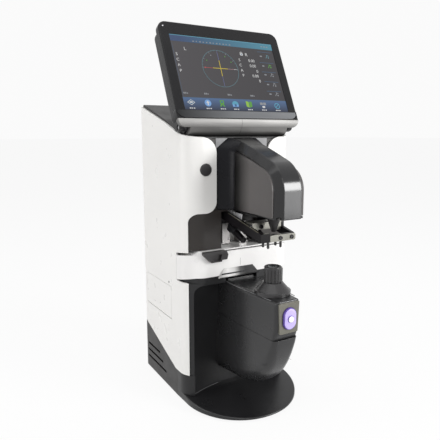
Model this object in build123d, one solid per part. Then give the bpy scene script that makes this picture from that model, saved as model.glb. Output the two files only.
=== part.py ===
from build123d import *
from math import cos, pi, radians, sin, tan
import os

# Desktop lens meter. Millimetres, +Z up, front towards -Y, the table at Z = 0.
# Drawn about the centre of its round front foot, then moved so that the middle of its
# footprint is the origin.
os.makedirs("parts", exist_ok=True)

# Driving dimensions of the column
body_w = 155.0           # across the two side shells
body_front = -8.0        # front face of the side shells
body_rear = 131.0        # rear face
wall = 2.5               # moulded walls
seam = 0.3               # between neighbouring covers
corner_r = 24.0          # front corners of the column
rear_r = 3.0             # rear corners of the column
shoulder_z = 337.5       # flat top of the side shells, at the front
rear_top_z = 378.5       # top of the side shells, at the rear
shell_tip_z = 39.0       # lowest point of the white shells
shell_rear_z = 74.0      # where their lower edge meets the rear face

# Ears, the front lips of the side shells
ear_inner_x = 37.0       # inner edge of each ear, from the middle
ear_bottom_z = 247.5
ear_top_r = 19.0
ear_bottom_r = 14.0
lip_x = 71.8             # inner edge of the narrow lip under the ear

# Foot
foot_r = 76.6            # the round front of the foot
feet_h = 2.0             # rubber feet, below the base plate
feet_r = 8.0
plate_t = 1.5            # base plate
rim_z = 5.2              # top of the foot at its front rim
foot_top_z = 12.5        # top of the foot where the column meets it
foot_rear = 24.7         # seam between the foot cover and the vented skirt
scoop_depth = 14.0       # y of the deepest point of the hollow in the front cover
scoop_edge_x, scoop_edge_y = 66.5, 0.0   # where its arc meets the cover's face
scoop_half_w = 66.5

# Lens table
table_front = -11.0
table_rear = 22.7
table_bottom_z = 168.5   # at the front; the side arms slope down from here
table_rear_bottom_z = 161.8
table_top_z = 202.0
arm_front_top_z = 198.5  # top of the table's side arms
arm_rear_top_z = 193.0
table_corner_r = 26.0
table_wall = 3.0
table_top_t = 1.4
notch_bottom_z = 161.0   # opening in the side shells
notch_top_z = 201.0
notch_rear_top_z = 196.5
notch_rear = 23.2
table_travel = 32.0
rod_x, rod_z, rod_r = 45.0, 178.0, 4.0
slot_half_w = 58.0       # slot for the bridge slider
slot_z = 199.6
slot_h = 1.6

# Optics
axis_y = -74.0           # the optical axis, in front of the column
nose_top_z = 191.5
nose_r = 10.2
nose_base_r = 21.2
nose_base_z = 159.3
lens_gap_top = 213.0     # tips of the lens holder's pins

# Head
head_front = -107.5
head_bottom_z = 250.7
head_half_w = 19.5
head_chamfer = 8.0
head_side_t = 2.2

# Lower housing
housing_top_z = 159.0
housing_seam_z = 112.0
housing_bottom_z = 25.5
housing_half_w = 23.0    # at the column
housing_nose_w = 16.3    # half width at the front
housing_front = -104.5
housing_taper_y = -31.5

# Screen
screen_w = 173.2
screen_h = 126.7
screen_tilt = 25.0       # back from the vertical
screen_base_y = -5.7
screen_base_z = 359.8
bezel_t = 8.0
screen_t = 27.0
screen_r = 11.0
display_w = 148.8
display_h = 98.9
display_v = 10.6         # above the lower edge of the bezel
hinge_y, hinge_z = 5.5, 349.0
chin_half_w = 69.8
chin_low_z = 338.7
chin_relief = 0.6        # room in the shells for the chin's swing
pin_r = 3.0

half_w = body_w / 2
centre_y = (body_rear + head_front) / 2


# Shared helpers
def save(name, *shapes):
    """Write one sub-part, moved so that the footprint's middle is the origin."""
    moved = [Pos(0, -centre_y, 0) * shape for shape in shapes]
    solids = [solid for shape in moved for solid in shape.solids()]
    export_step(solids[0] if len(solids) == 1 else Compound(children=solids), f"parts/{name}.step")


def rounded(*corners):
    """A closed face through corners (u, v, radius)."""
    count = len(corners)
    turns = []
    for i, (u, v, r) in enumerate(corners):
        here = Vector(u, v)
        back = (Vector(*corners[i - 1][:2]) - here).normalized()
        ahead = (Vector(*corners[(i + 1) % count][:2]) - here).normalized()
        half = radians(back.get_angle(ahead)) / 2
        reach = r / tan(half)
        via = here + (back + ahead).normalized() * (r / sin(half) - r) if r else here
        turns.append((here + back * reach, via, here + ahead * reach, r))
    edges = []
    for i, (start, via, end, r) in enumerate(turns):
        if r:
            edges.append(ThreePointArc(start, via, end))
        following = turns[(i + 1) % count][0]
        if (following - end).length > 1e-6:
            edges.append(Line(end, following))
    return make_face(edges)


def outline(start, *steps):
    """A closed face: each step is (end,) for a line or (via, end) for an arc."""
    edges, at = [], start
    for step in steps:
        end = step[-1]
        edges.append(Line(at, end) if len(step) == 1 else ThreePointArc(at, step[0], end))
        at = end
    edges.append(Line(at, start))
    return make_face(edges)


def across(face, x_from, x_to):
    """Extrude a face drawn in (y, z) from one x to another."""
    return extrude(Plane.YZ.offset(x_from) * face, x_to - x_from, dir=(1, 0, 0))


def along(face, y_from, y_to):
    """Extrude a face drawn in (x, z) from one y to another."""
    return extrude(Plane.XZ.offset(-y_to) * face, y_to - y_from, dir=(0, -1, 0))


def upward(face, z_from, z_to):
    """Extrude a face drawn in (x, y) from one z to another."""
    return extrude(Pos(0, 0, z_from) * face, z_to - z_from, dir=(0, 0, 1))


def block(x0, x1, y0, y1, z0, z1):
    """A box between two corners."""
    return Pos((x0 + x1) / 2, (y0 + y1) / 2, (z0 + z1) / 2) * Box(x1 - x0, y1 - y0, z1 - z0)


def post(x, y, z0, z1, r):
    """An upright cylinder."""
    return Pos(x, y, (z0 + z1) / 2) * Cylinder(r, z1 - z0)


def rod_y(x, z, y0, y1, r):
    """A cylinder along Y."""
    return Pos(x, (y0 + y1) / 2, z) * Rot(90, 0, 0) * Cylinder(r, y1 - y0)


def rod_x_axis(x0, x1, y, z, r):
    """A cylinder along X."""
    return Pos((x0 + x1) / 2, y, z) * Rot(0, 90, 0) * Cylinder(r, x1 - x0)


def mirror_x(shape):
    """The same piece on the other side."""
    return mirror(shape, Plane.YZ)


# Outlines that several covers share
def plan(inset):
    """The column's plan, inset by a wall."""
    x = half_w - inset
    return rounded(
        (-x, body_front + inset, corner_r - inset),
        (x, body_front + inset, corner_r - inset),
        (x, body_rear - inset, max(rear_r - inset, 0.5)),
        (-x, body_rear - inset, max(rear_r - inset, 0.5)),
    )


def ring(thickness, z0, z1):
    """The column's outer wall between two heights."""
    return upward(plan(0), z0, z1) - upward(plan(thickness), z0 - 1, z1 + 1)


slope_y = 52.8           # the shells' top edge bends here
slope_z = 356.3
nape_y = 13.5            # and again just behind the ears
nape_z = 342.3
tip_y = 30.0


def shell_side(grow):
    """Side view of a white shell, grown by a seam."""
    return rounded(
        (body_front - 2 - grow, shell_tip_z + 1 - grow, 13 + grow),
        (tip_y, shell_tip_z - grow, 15 + grow),
        (body_rear + 2, shell_rear_z + 0.5 - grow, 0),
        (body_rear + 2, rear_top_z + 0.8 + grow, 0),
        (slope_y, slope_z + grow, 60),
        (nape_y, nape_z + grow, 40),
        (body_front - 2 - grow, shoulder_z + grow, 0),
    )


def shell_front(grow):
    """Front view of the left shell's ear and lip, grown by a seam."""
    outside = -half_w - 2
    return rounded(
        (outside, shell_tip_z - 4, 0),
        (-lip_x + grow, shell_tip_z - 4, 0),
        (-lip_x + grow, ear_bottom_z - grow, 11 - grow),
        (-ear_inner_x + grow, ear_bottom_z - grow, ear_bottom_r + grow),
        (-ear_inner_x + grow, shoulder_z + 0.4 + grow, ear_top_r + grow),
        (-half_w + corner_r, shoulder_z + 0.4 + grow, 0),
        (outside, shoulder_z + 9 + grow, 0),
    )


# White side shells with their ears
door_y0, door_y1 = 40.0, 122.0
door_z0, door_z1 = 102.8, 147.5
door_gap = 0.4
door_axis_x = -half_w + wall / 2
door_axis_z = door_z0 + door_gap + wall / 2
door_pin_r = 0.8
knob_x, knob_z, knob_r = -51.5, 299.8, 7.25
lip_depth = 6.0          # the front outline cuts the shell forward of this y


def left_shell():
    """The left shell, with no hole for the door or the knob."""
    walls = ring(wall, 30, rear_top_z + 12) & across(shell_side(0), -half_w - 1, 0)
    front = along(shell_front(0), body_front - 3, lip_depth)
    sides = block(-half_w - 1, 0, lip_depth, body_rear - wall - seam - 0.2, 30, rear_top_z + 12)
    shell = walls & (front + sides)
    notch = across(rounded(
        (body_front - 5, notch_bottom_z, 0), (notch_rear, notch_bottom_z, 1.5),
        (notch_rear, notch_rear_top_z, 1.5), (body_front - 5, notch_top_z + 0.6, 0),
    ), -half_w - 1, 0)
    swing = rod_x_axis(-chin_half_w - chin_relief, 0, hinge_y, hinge_z, hinge_z - chin_low_z + chin_relief)
    return shell - notch - swing


plain_shell = left_shell()
side_shell = plain_shell - across(
    rounded((door_y0, door_z0, 1), (door_y1, door_z0, 1), (door_y1, door_z1, 1), (door_y0, door_z1, 1)),
    -half_w - 1, -half_w + wall + 1)
side_shell -= rod_y(door_axis_x, door_axis_z, door_y0 - 2.2, door_y1 + 2.2, door_pin_r + 0.1)
side_shell -= rod_y(knob_x, knob_z, body_front - 1, body_front + wall + 1, knob_r + seam)
latch_y, latch_z, latch_r = 47.0, 152.0, 1.6
side_shell -= rod_x_axis(-half_w - 1, -half_w + 1.2, latch_y, latch_z, latch_r)
save("left_side_shell", side_shell)
save("right_side_shell", mirror_x(plain_shell))

# Printer door, hinged along its lower edge
door = across(rounded(
    (door_y0 + door_gap, door_axis_z, 0), (door_y1 - door_gap, door_axis_z, 0),
    (door_y1 - door_gap, door_z1 - door_gap, 1), (door_y0 + door_gap, door_z1 - door_gap, 1),
), -half_w, -half_w + wall)
door += rod_y(door_axis_x, door_axis_z, door_y0 + door_gap, door_y1 - door_gap, wall / 2)
door += rod_y(door_axis_x, door_axis_z, door_y0 - 2, door_y1 + 2, door_pin_r)
for pip_y, pip_z in ((95.0, 112.5), (77.0, 115.0)):
    door -= rod_x_axis(-half_w - 1, -half_w + 0.8, pip_y, pip_z, 0.8)
save("printer_door", door)

# Printer bay, mechanism and paper roll, behind the door
bay_x0, bay_x1 = -half_w + wall + seam, -34.0
bay_wall = 1.6
roll_r, roll_core_r, roll_x, roll_z = 16.5, 6.0, -52.5, 125.0
roll_y0, roll_y1 = 50.0, 107.0
bay = block(bay_x0, bay_x1, door_y0 + 1, door_y1 - 1, door_z0 + 0.6, door_z1 - 0.6)
bay -= block(bay_x0 - 1, bay_x1 - bay_wall, door_y0 + 1 + bay_wall, door_y1 - 1 - bay_wall,
             door_z0 + 0.6 + bay_wall, door_z1 - 0.6 - bay_wall)
for spindle_y0, spindle_y1 in ((door_y0 + 1 + bay_wall, roll_y0 + 4), (roll_y1 - 4, door_y1 - 1 - bay_wall)):
    bay += rod_y(roll_x, roll_z, spindle_y0, spindle_y1, roll_core_r - 0.1)
bay -= block(bay_x0 - 1, bay_x0 + 6, door_y0, door_y1, door_axis_z - 3, door_axis_z + 3)
save("printer_bay", bay)
save("paper_roll", rod_y(roll_x, roll_z, roll_y0, roll_y1, roll_r)
     - rod_y(roll_x, roll_z, roll_y0 - 1, roll_y1 + 1, roll_core_r))
mech_x0, mech_x1 = bay_x1 + 0.1, bay_x1 + 14
mechanism = block(mech_x0, mech_x1, roll_y0, roll_y1, 108, 134)
mechanism -= block(mech_x0 + 3, mech_x1 + 1, roll_y0 + 4, roll_y1 - 4, 118, 130)
mechanism += rod_y(mech_x0 + 8, 124, roll_y0 + 2, roll_y1 - 2, 4.5)
save("printer_mechanism", mechanism)

# Push button on the left ear
knob_travel = 1.5
knob_back = body_front + wall + 2.6
knob =rod_y(knob_x, knob_z, body_front - 1.4, body_front + wall + 0.2, knob_r)
knob = chamfer(knob.edges().sort_by(Axis.Y)[0], 0.6)
knob += rod_y(knob_x, knob_z, body_front + wall, knob_back - 1.0, knob_r - 1.0)
knob += rod_y(knob_x, knob_z, knob_back - 1.2, knob_back, knob_r + 1.5)
save("ear_button", knob)

# Base: rubber feet, steel plate and the round foot cover
foot_places = ((-56.0, 108.0), (56.0, 108.0), (-56.0, 14.0), (56.0, 14.0), (0.0, -58.0))
stub_r = 3.0
feet = []
for foot_x, foot_y in foot_places:
    pad = post(foot_x, foot_y, 0, feet_h, feet_r)
    pad = chamfer(pad.edges().sort_by(Axis.Z)[0], 0.8)
    feet.append(pad + post(foot_x, foot_y, feet_h, feet_h + plate_t, stub_r))
save("rubber_feet", *feet)

base_inset = 2.0


def foot_plan(inset):
    """The foot's plan: straight sides and a round front."""
    edge, tip = half_w - inset, foot_r - inset
    return Polygon((-tip, 2), (-edge, foot_rear), (-edge, body_rear - inset), (edge, body_rear - inset),
                   (edge, foot_rear), (tip, 2), align=None) + Pos(0, 1) * Circle(tip)


plate_z = feet_h + plate_t
base = upward(foot_plan(base_inset), feet_h, plate_z)
for foot_x, foot_y in foot_places:
    base -= post(foot_x, foot_y, 0, plate_z + 1, stub_r + 0.1)
save("base_plate", base)

foot = upward(foot_plan(0), plate_z, foot_top_z) & block(-90, 90, -90, foot_rear, 0, 30)
foot &= across(Polygon((-90, 0), (-90, rim_z - 1.0), (-foot_r, rim_z), (4, foot_top_z),
                       (foot_rear + 1, foot_top_z), (foot_rear + 1, 0), align=None), -90, 90)
foot = fillet(foot.edges().filter_by(
    lambda edge: edge.geom_type != GeomType.LINE and edge.center().Z > plate_z + 0.1), 1.5)
foot -= upward(Pos(0, 6) * Circle(foot_r - 12), plate_z - 1, plate_z + 0.9)
save("front_foot", foot)

# Vented skirt at the lower rear
vents = ((40.0, 81.0, 123.0), (30.0, 71.0, 124.0), (20.0, 60.0, 124.5))
vent_h = 3.2
black_wall = wall + 0.5
below_shell = across(shell_side(seam), -half_w - 2, half_w + 2)
skirt = ring(black_wall, plate_z, shell_rear_z - seam) - below_shell
skirt &= block(-90, 90, foot_rear + seam / 2, body_rear + 1, 0, 100)
for vent_z, vent_y0, vent_y1 in vents:
    skirt -= across(Pos((vent_y0 + vent_y1) / 2, vent_z) * SlotOverall(vent_y1 - vent_y0, vent_h),
                    -half_w - 1, half_w + 1)
save("vent_skirt", skirt)

# Hollowed front cover between the foot and the table
cover_shoulder_z = notch_bottom_z - 0.5
cover_top_z = table_bottom_z - 0.7
front_inset = 1.0
inner_half_w = half_w - wall - seam


def front_face(z_from, z_to):
    """A panel's body: flush between the shells' lips, narrower behind them."""
    between = block(-lip_x + seam, lip_x - seam, -20, foot_rear, z_from, z_to)
    behind = block(-90, 90, -20, foot_rear, z_from, z_to)
    return (upward(plan(front_inset), z_from, z_to) & between) + (upward(plan(wall + seam), z_from, z_to) & behind)


def scoop_circle(extra):
    """The hollow's plan: an arc through its two edges and its deepest point."""
    centre = (scoop_depth ** 2 - (scoop_edge_y ** 2 + scoop_edge_x ** 2)) / (2 * (scoop_depth - scoop_edge_y))
    return Pos(0, centre) * Circle(scoop_depth - centre + extra, align=(Align.CENTER, Align.CENTER))


inside_table = half_w - table_wall - 1.0
front_block = front_face(foot_top_z, cover_shoulder_z) + upward(rounded(
    (-inside_table, body_front + front_inset, 22), (inside_table, body_front + front_inset, 22),
    (inside_table, foot_rear, 0), (-inside_table, foot_rear, 0)), cover_shoulder_z, cover_top_z)
window_top_z = 157.5
window = along(rounded(
    (-scoop_half_w, foot_top_z - 1, 0), (scoop_half_w, foot_top_z - 1, 0),
    (scoop_half_w, window_top_z, 11), (-scoop_half_w, window_top_z, 11)), -40, 40)
scoop = upward(scoop_circle(0), foot_top_z - 1, cover_top_z) & window
cavity = (upward(plan(2 * wall + seam), foot_top_z - 1, cover_top_z - wall) & block(
    -90, 90, -20, foot_rear + 1, 0, 200)) - upward(scoop_circle(wall), 0, 200)
lower_cover = front_block - scoop - cavity
cheek = (ring(black_wall, foot_top_z, 60) - below_shell) & block(-90, 90, -20, foot_rear, 0, 60)
lower_cover = lower_cover + cheek - scoop
lower_cover -= upward(scoop_circle(0), cover_top_z - 12, cover_top_z + 1) & block(
    -housing_half_w - seam, housing_half_w + seam, -60, 40, 0, 200)
lower_cover -= block(-housing_half_w + wall, housing_half_w - wall, -20, foot_rear + 1,
                     housing_bottom_z + 20, housing_top_z - wall - 6)
save("lower_front_cover", lower_cover)

# Upper front panel, behind the ears, with the recess for the lens holder
recess_half_w = 30.0
recess_top_z = head_bottom_z - 0.3
panel_y = body_front + wall + seam
recess_rear = 20.0
panel_bottom_z = table_top_z + 0.4
panel_return_y = 5.0     # the panel curves back this far behind the ears
panel = (upward(plan(wall + seam), panel_bottom_z, shoulder_z - 2)
         - upward(plan(2 * wall + seam), 100, 400)) & block(-90, 90, -20, panel_return_y, 100, 400)
pad = upward(plan(front_inset) - plan(wall + seam + 0.1), panel_bottom_z, head_bottom_z - seam)
pad &= block(-lip_x + seam, lip_x - seam, -20, foot_rear, 100, 400)
for ear_view in (shell_front(seam), mirror(shell_front(seam), Plane.YZ)):
    pad -= along(ear_view, -20, lip_depth)
panel += pad
panel += block(-recess_half_w - wall, recess_half_w + wall, panel_y, recess_rear, panel_bottom_z, recess_top_z)
panel -= block(-recess_half_w, recess_half_w, -20, recess_rear + 1, panel_bottom_z - 1, recess_top_z - wall)
panel -= rod_y(knob_x, knob_z, -10, 5, knob_r + 2.2)
panel -= block(-12, 12, -20, recess_rear + 2, 258, 304)
save("upper_front_panel", panel)

# Rear cover with its power inlet and switch
rear_half_w = half_w - wall - seam
rear_z0 = shell_rear_z + 0.2
rear = block(-rear_half_w, rear_half_w, body_rear - wall, body_rear, rear_z0, rear_top_z - 1)
inlet_x, inlet_z, inlet_w, inlet_h = -14.0, 96.0, 27.0, 20.0
switch_x, switch_w, switch_h = 10.0, 13.5, 19.5
data_x, data_w, data_h = 44.0, 16.0, 8.0
rear -= block(inlet_x - inlet_w / 2 - 0.2, inlet_x + inlet_w / 2 + 0.2, 120, 140,
              inlet_z - inlet_h / 2 - 0.2, inlet_z + inlet_h / 2 + 0.2)
rear -= block(switch_x - switch_w / 2 - 0.2, switch_x + switch_w / 2 + 0.2, 120, 140,
              inlet_z - switch_h / 2 - 0.2, inlet_z + switch_h / 2 + 0.2)
rear -= block(data_x - data_w / 2, data_x + data_w / 2, 120, 140, inlet_z - data_h / 2, inlet_z + data_h / 2)
for row in range(5):
    rear -= along(Pos(0, 250 + 9 * row) * SlotOverall(70, 3), 120, 140)
screw_places = [(x, z) for x in (-66.0, 66.0) for z in (86.0, 366.0)]
for screw_x, screw_z in screw_places:
    rear -= rod_y(screw_x, screw_z, 120, 140, 1.7)
    rear -= rod_y(screw_x, screw_z, body_rear - 1.2, 140, 3.2)
save("rear_cover", rear)
save("rear_screws", *[
    rod_y(x, z, body_rear - 1.1, body_rear - 0.1, 3.0) + rod_y(x, z, body_rear - 10, body_rear - 1.1, 1.6)
    for x, z in screw_places])

inlet = block(inlet_x - inlet_w / 2, inlet_x + inlet_w / 2, body_rear - 20, body_rear - 0.2,
              inlet_z - inlet_h / 2, inlet_z + inlet_h / 2)
inlet -= along(rounded((inlet_x - 12, inlet_z - 8, 2), (inlet_x + 12, inlet_z - 8, 2),
                       (inlet_x + 12, inlet_z + 4, 4), (inlet_x + 8, inlet_z + 8, 1),
                       (inlet_x - 8, inlet_z + 8, 1), (inlet_x - 12, inlet_z + 4, 4)),
               body_rear - 16, body_rear + 1)
for blade_x, blade_z in ((-7.0, 0.0), (7.0, 0.0), (0.0, 4.0)):
    inlet += block(inlet_x + blade_x - 1, inlet_x + blade_x + 1, body_rear - 17, body_rear - 3,
                   inlet_z + blade_z - 2, inlet_z + blade_z + 2)

# Rocker switch, tipped to its off side at rest
rocker_tip = 8.0
rocker_axis_y = body_rear - 6
rocker = across(rounded((-6, -8.6, 0), (-6, 8.6, 0), (4.6, 8.2, 1), (3.2, 0, 0), (4.6, -8.2, 1)), -5.6, 5.6)
rocker = Pos(switch_x, rocker_axis_y, inlet_z) * (Rot(-rocker_tip, 0, 0) * (
    rocker & (Rot(0, 90, 0) * Cylinder(9.4, 20))))
save("rocker_switch", rocker)
frame_in = block(switch_x - switch_w / 2, switch_x + switch_w / 2, body_rear - 20, body_rear - 0.2,
                 inlet_z - switch_h / 2, inlet_z + switch_h / 2)
frame_in -= Pos(switch_x, rocker_axis_y, inlet_z) * Rot(0, 90, 0) * Cylinder(9.55, 11.6)
frame_in -= block(switch_x - 5.8, switch_x + 5.8, rocker_axis_y, body_rear + 1, inlet_z - 9.4, inlet_z + 9.4)
save("power_entry", inlet + frame_in)

# Top cover, between the sloping edges of the shells
strip_proud = 3.0
shelf_z = shoulder_z + 0.4   # under the chin
shelf_rear = 17.5
cover_rear = body_rear - wall - seam
cover_side = rounded(
    (-2.0, shelf_z - wall, 0), (shelf_rear - 1, shelf_z - wall, 2), (slope_y, slope_z - wall, 50),
    (cover_rear, rear_top_z - wall - 1, 0), (cover_rear, rear_top_z + strip_proud, 3),
    (slope_y + 3, slope_z + strip_proud, 50), (shelf_rear + 6, nape_z + 1.5, 4), (shelf_rear, shelf_z, 3),
    (-2.0, shelf_z, 0))
top = across(cover_side, -rear_half_w, rear_half_w) & upward(plan(wall + seam), 300, 400)
hinge_slot = block(chin_half_w - 0.4, rear_half_w + 1, -3, 15, 320, 370)
top -= hinge_slot + mirror_x(hinge_slot)
save("top_cover", top)

# Chassis: a folded steel frame that carries the optics and the guides
chassis_y, chassis_t, chassis_half_w = 25.0, 2.5, 66.0
chassis_top = 322.0
chassis = block(-chassis_half_w, chassis_half_w, chassis_y, chassis_y + chassis_t, plate_z, chassis_top)
flange = block(chassis_half_w - chassis_t, chassis_half_w, chassis_y, 110, plate_z, chassis_top)
foot_flange = block(-chassis_half_w, chassis_half_w, chassis_y, 100, plate_z, plate_z + chassis_t)
chassis += flange + foot_flange
left_flange = mirror_x(flange) - block(-80, -50, door_y0 - 6, 120, door_z0 - 6, door_z1 + 6)
chassis += left_flange
bush_r, bush_len = 7.9, 18.0
for side in (-1, 1):
    chassis += rod_y(side * rod_x, rod_z, chassis_y - 0.5, chassis_y + bush_len, bush_r)
    chassis -= rod_y(side * rod_x, rod_z, 0, 60, rod_r + 0.05)
chassis -= block(-7, 7, 20, 30, 223, 250)
chassis -= block(-20, 20, 20, 30, 60, 84)
save("chassis_frame", chassis)

# Lens table: a bent band with a flat top and sloping side arms, on two rods
table = upward(rounded(
    (-half_w, table_front, table_corner_r), (half_w, table_front, table_corner_r),
    (half_w, table_rear, 0), (-half_w, table_rear, 0)), table_rear_bottom_z - 1, table_top_z)
table &= across(Polygon((table_front - 1, table_bottom_z), (table_front + 4, table_bottom_z),
                        (table_rear + 1, table_rear_bottom_z), (table_rear + 1, table_top_z),
                        (table_front - 1, table_top_z), align=None), -half_w, half_w)
arm_cut = across(Polygon((table_front - 1, arm_front_top_z), (table_rear + 1, arm_rear_top_z),
                         (table_rear + 1, table_top_z + 1), (table_front - 1, table_top_z + 1), align=None),
                 -half_w, half_w)
arm_cut &= along(Polygon((-half_w - 1, 180), (-66.0, 180), (-66.0, arm_front_top_z - 1),
                         (-60.0, table_top_z + 1), (-half_w - 1, table_top_z + 1), align=None), -20, 30)
table -= arm_cut + mirror_x(arm_cut)
table -= upward(rounded(
    (-half_w + table_wall, table_front + table_wall, table_corner_r - table_wall),
    (half_w - table_wall, table_front + table_wall, table_corner_r - table_wall),
    (half_w - table_wall, table_rear + 1, 0), (-half_w + table_wall, table_rear + 1, 0)),
    table_rear_bottom_z - 2, table_top_z - table_top_t) & along(Polygon(
        (-half_w, 150), (half_w, 150), (half_w, arm_rear_top_z - 2.5), (66.5, arm_rear_top_z - 2.5),
        (60.0, table_top_z), (-60.0, table_top_z), (-66.5, arm_rear_top_z - 2.5),
        (-half_w, arm_rear_top_z - 2.5), align=None), -20, 30)
table -= along(Pos(0, slot_z) * SlotOverall(2 * slot_half_w, slot_h), table_front - 1, table_front + table_wall + 1)
save("lens_table", table)
rod_front = table_front + table_wall
rod_rear = 78.0
save("table_rods", *[rod_y(side * rod_x, rod_z, rod_front, rod_rear, rod_r) for side in (-1, 1)])

# Sloping plate under the table's front edge
plate_half_top, plate_half_low, plate_mid_x = 21.3, 29.8, -7.5
plate_top_z, plate_proud = 177.0, 3.2
table_plate = along(Polygon(
    (plate_mid_x - plate_half_low, table_bottom_z - 2.5), (plate_mid_x + plate_half_low, table_bottom_z - 2.5),
    (plate_mid_x + plate_half_top, plate_top_z), (plate_mid_x - plate_half_top, plate_top_z), align=None),
    table_front - plate_proud, table_front)
table_plate &= across(Polygon(
    (table_front, table_bottom_z - 2.5), (table_front - plate_proud, table_bottom_z - 2.5),
    (table_front - plate_proud, table_bottom_z - 1), (table_front - 0.6, plate_top_z),
    (table_front, plate_top_z), align=None), -60, 60)
save("table_bracket", table_plate)

# Bridge slider on the table's front, at the left end of its slot
slider_x = -43.0
slider_front = table_front - 6.5
slider = along(rounded(
    (slider_x - 16.5, 201.6, 1), (slider_x + 14.5, 201.6, 2), (slider_x + 17, 196, 1.5),
    (slider_x + 15.5, 190.3, 1.5), (slider_x + 8.5, 190.3, 0.5), (slider_x + 8, 188.2, 0.8),
    (slider_x - 6.5, 188.2, 1.5), (slider_x - 16.5, 198, 1)), slider_front, table_front - 0.3)
slider -= along(rounded(
    (slider_x - 5, 189.8, 1), (slider_x + 6, 189.8, 1), (slider_x + 8, 197.5, 1),
    (slider_x - 3, 197.5, 1)), slider_front - 1, slider_front + 3)
tongue_half_w = 10.5     # stays clear of the slot's round end
slider += block(slider_x - tongue_half_w, slider_x + tongue_half_w, table_front - 0.4,
                table_front + table_wall + 0.4, slot_z - slot_h / 2 + 0.25, slot_z + slot_h / 2 - 0.25)
slider += block(slider_x - 8, slider_x + 8, table_front + table_wall + 0.3, table_front + table_wall + 2.3,
                188, table_top_z - table_top_t - 0.2)
save("bridge_slider", slider)

# Head: a wrapped shell on a flared neck
head_rear = 9.0


def head_side(inset):
    """Side view of the head, inset by a wall."""
    return outline(
        (head_rear, head_bottom_z), ((head_front + inset, head_bottom_z),),
        ((head_front + inset, 281.0),),
        ((-101.2 + inset * 0.8, 299.2 - inset * 0.6), (-86.0 + inset * 0.4, 311.9 - inset * 0.9)),
        ((-42.0, 327.0 - inset), (head_rear, 341.0 - inset)))


def head_solid(grow):
    """The head's outer form with its chamfered shoulders, grown by a clearance."""
    side = head_half_w + grow
    form = across(head_side(-grow), -side, side)
    shoulders = form.edges().filter_by(
        lambda edge: abs(abs(edge.center().X) - side) < 0.01 and edge.center().Z > head_bottom_z + 1
        and edge.center().Y < head_rear - 1)
    return chamfer(shoulders, head_chamfer)


head = head_solid(0)
core = across(head_side(wall), -head_half_w + head_chamfer, head_half_w - head_chamfer)
core += across(head_side(wall + head_chamfer), -head_half_w + wall, head_half_w - wall)
front_of_column = block(-60, 60, -140, panel_y - seam, head_bottom_z - 5, 345)
head = (head - core) & front_of_column
head -= block(-60, 60, head_front - 5, 20, head_bottom_z - 1, head_bottom_z + 2.6) & across(
    head_side(wall), -head_half_w + wall, head_half_w - wall)
save("head_cover", head)

cheek_face = outline(
    (-24.0, 252.6), ((-99.0, 252.6),), ((-99.0, 282.0),), ((-93.6, 295.6), (-81.0, 304.6)),
    ((-50.0, 314.6), (-24.0, 321.4)))
cheek_panel = across(cheek_face, -head_half_w - head_side_t, -head_half_w)
save("head_side_panels", cheek_panel, mirror_x(cheek_panel))

neck_y = panel_y - seam


def neck_section(y, half, shoulder, top_half, top):
    """One cross-section of the flared neck."""
    return Plane.XZ.offset(-y) * Polygon(
        (-half, head_bottom_z), (half, head_bottom_z), (half, shoulder), (top_half, top),
        (-top_half, top), (-half, shoulder), align=None)


neck = loft([neck_section(neck_y, 36.0, 324.3, 19.8, 337.2),
             neck_section(-16.0, 25.0, 321.8, 16.0, 334.6),
             neck_section(-23.0, head_half_w + 0.8, 319.8, 13.5, 332.4)], ruled=True)
neck -= head_solid(seam)
save("head_neck", neck)

nose_z = 232.0
bottom_plate = block(-head_half_w + wall + 0.3, head_half_w - wall - 0.3, head_front + wall + 0.4, -14,
                     head_bottom_z, head_bottom_z + 2.2)
cone = Pos(0, axis_y, (nose_z + head_bottom_z) / 2) * Cone(2.6, 9.0, head_bottom_z - nose_z)
bottom_plate += cone
bottom_plate += block(-17.0, 17.0, -63.0, -40.0, head_bottom_z - 2.6, head_bottom_z)
bottom_plate -= post(0, axis_y, nose_z - 1, head_bottom_z + 5, 1.9)
save("head_floor", bottom_plate)

# Upper optics: arm, collimator barrel, lens and lamp
barrel_r, barrel_bore, barrel_z0, barrel_z1 = 11.0, 9.0, 253.2, 296.0
arm_z0, arm_z1 = 262.0, 286.0
upper_arm = block(-9.0, 9.0, axis_y, chassis_y, arm_z0, arm_z1)
upper_arm += block(-16.0, 16.0, chassis_y - 4, chassis_y, arm_z0 - 8, arm_z1 + 16)
for web in range(4):
    upper_arm -= across(Pos(-42 + 17 * web, (arm_z0 + arm_z1) / 2) * RectangleRounded(12, 15, 3), -20, 20)
upper_arm += post(0, axis_y, arm_z0, arm_z1, barrel_r + 3)
upper_arm -= post(0, axis_y, arm_z0 - 1, arm_z1 + 1, barrel_r + 0.05)
save("upper_arm", upper_arm)
barrel = post(0, axis_y, barrel_z0, barrel_z1, barrel_r) - post(0, axis_y, barrel_z0 - 1, barrel_z1 + 1, barrel_bore)
barrel += post(0, axis_y, barrel_z0, barrel_z0 + 2, barrel_r) - post(0, axis_y, barrel_z0 - 1, barrel_z0 + 3, 7.5)
save("collimator_barrel", barrel)
save("collimator_lens", post(0, axis_y, barrel_z0 + 2, barrel_z0 + 6, barrel_bore - 0.05))
lamp = post(0, axis_y, barrel_z1, barrel_z1 + 1.6, barrel_r) + post(0, axis_y, barrel_z1 - 7, barrel_z1, 2.5)
save("lamp_board", lamp)

# Lower housing: a keel-shaped casing in two halves
keel_y = -6.0            # the keel's curve runs from here
keel_z = 131.0           # up to here, on the front face
keel_r = 5.0


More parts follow.
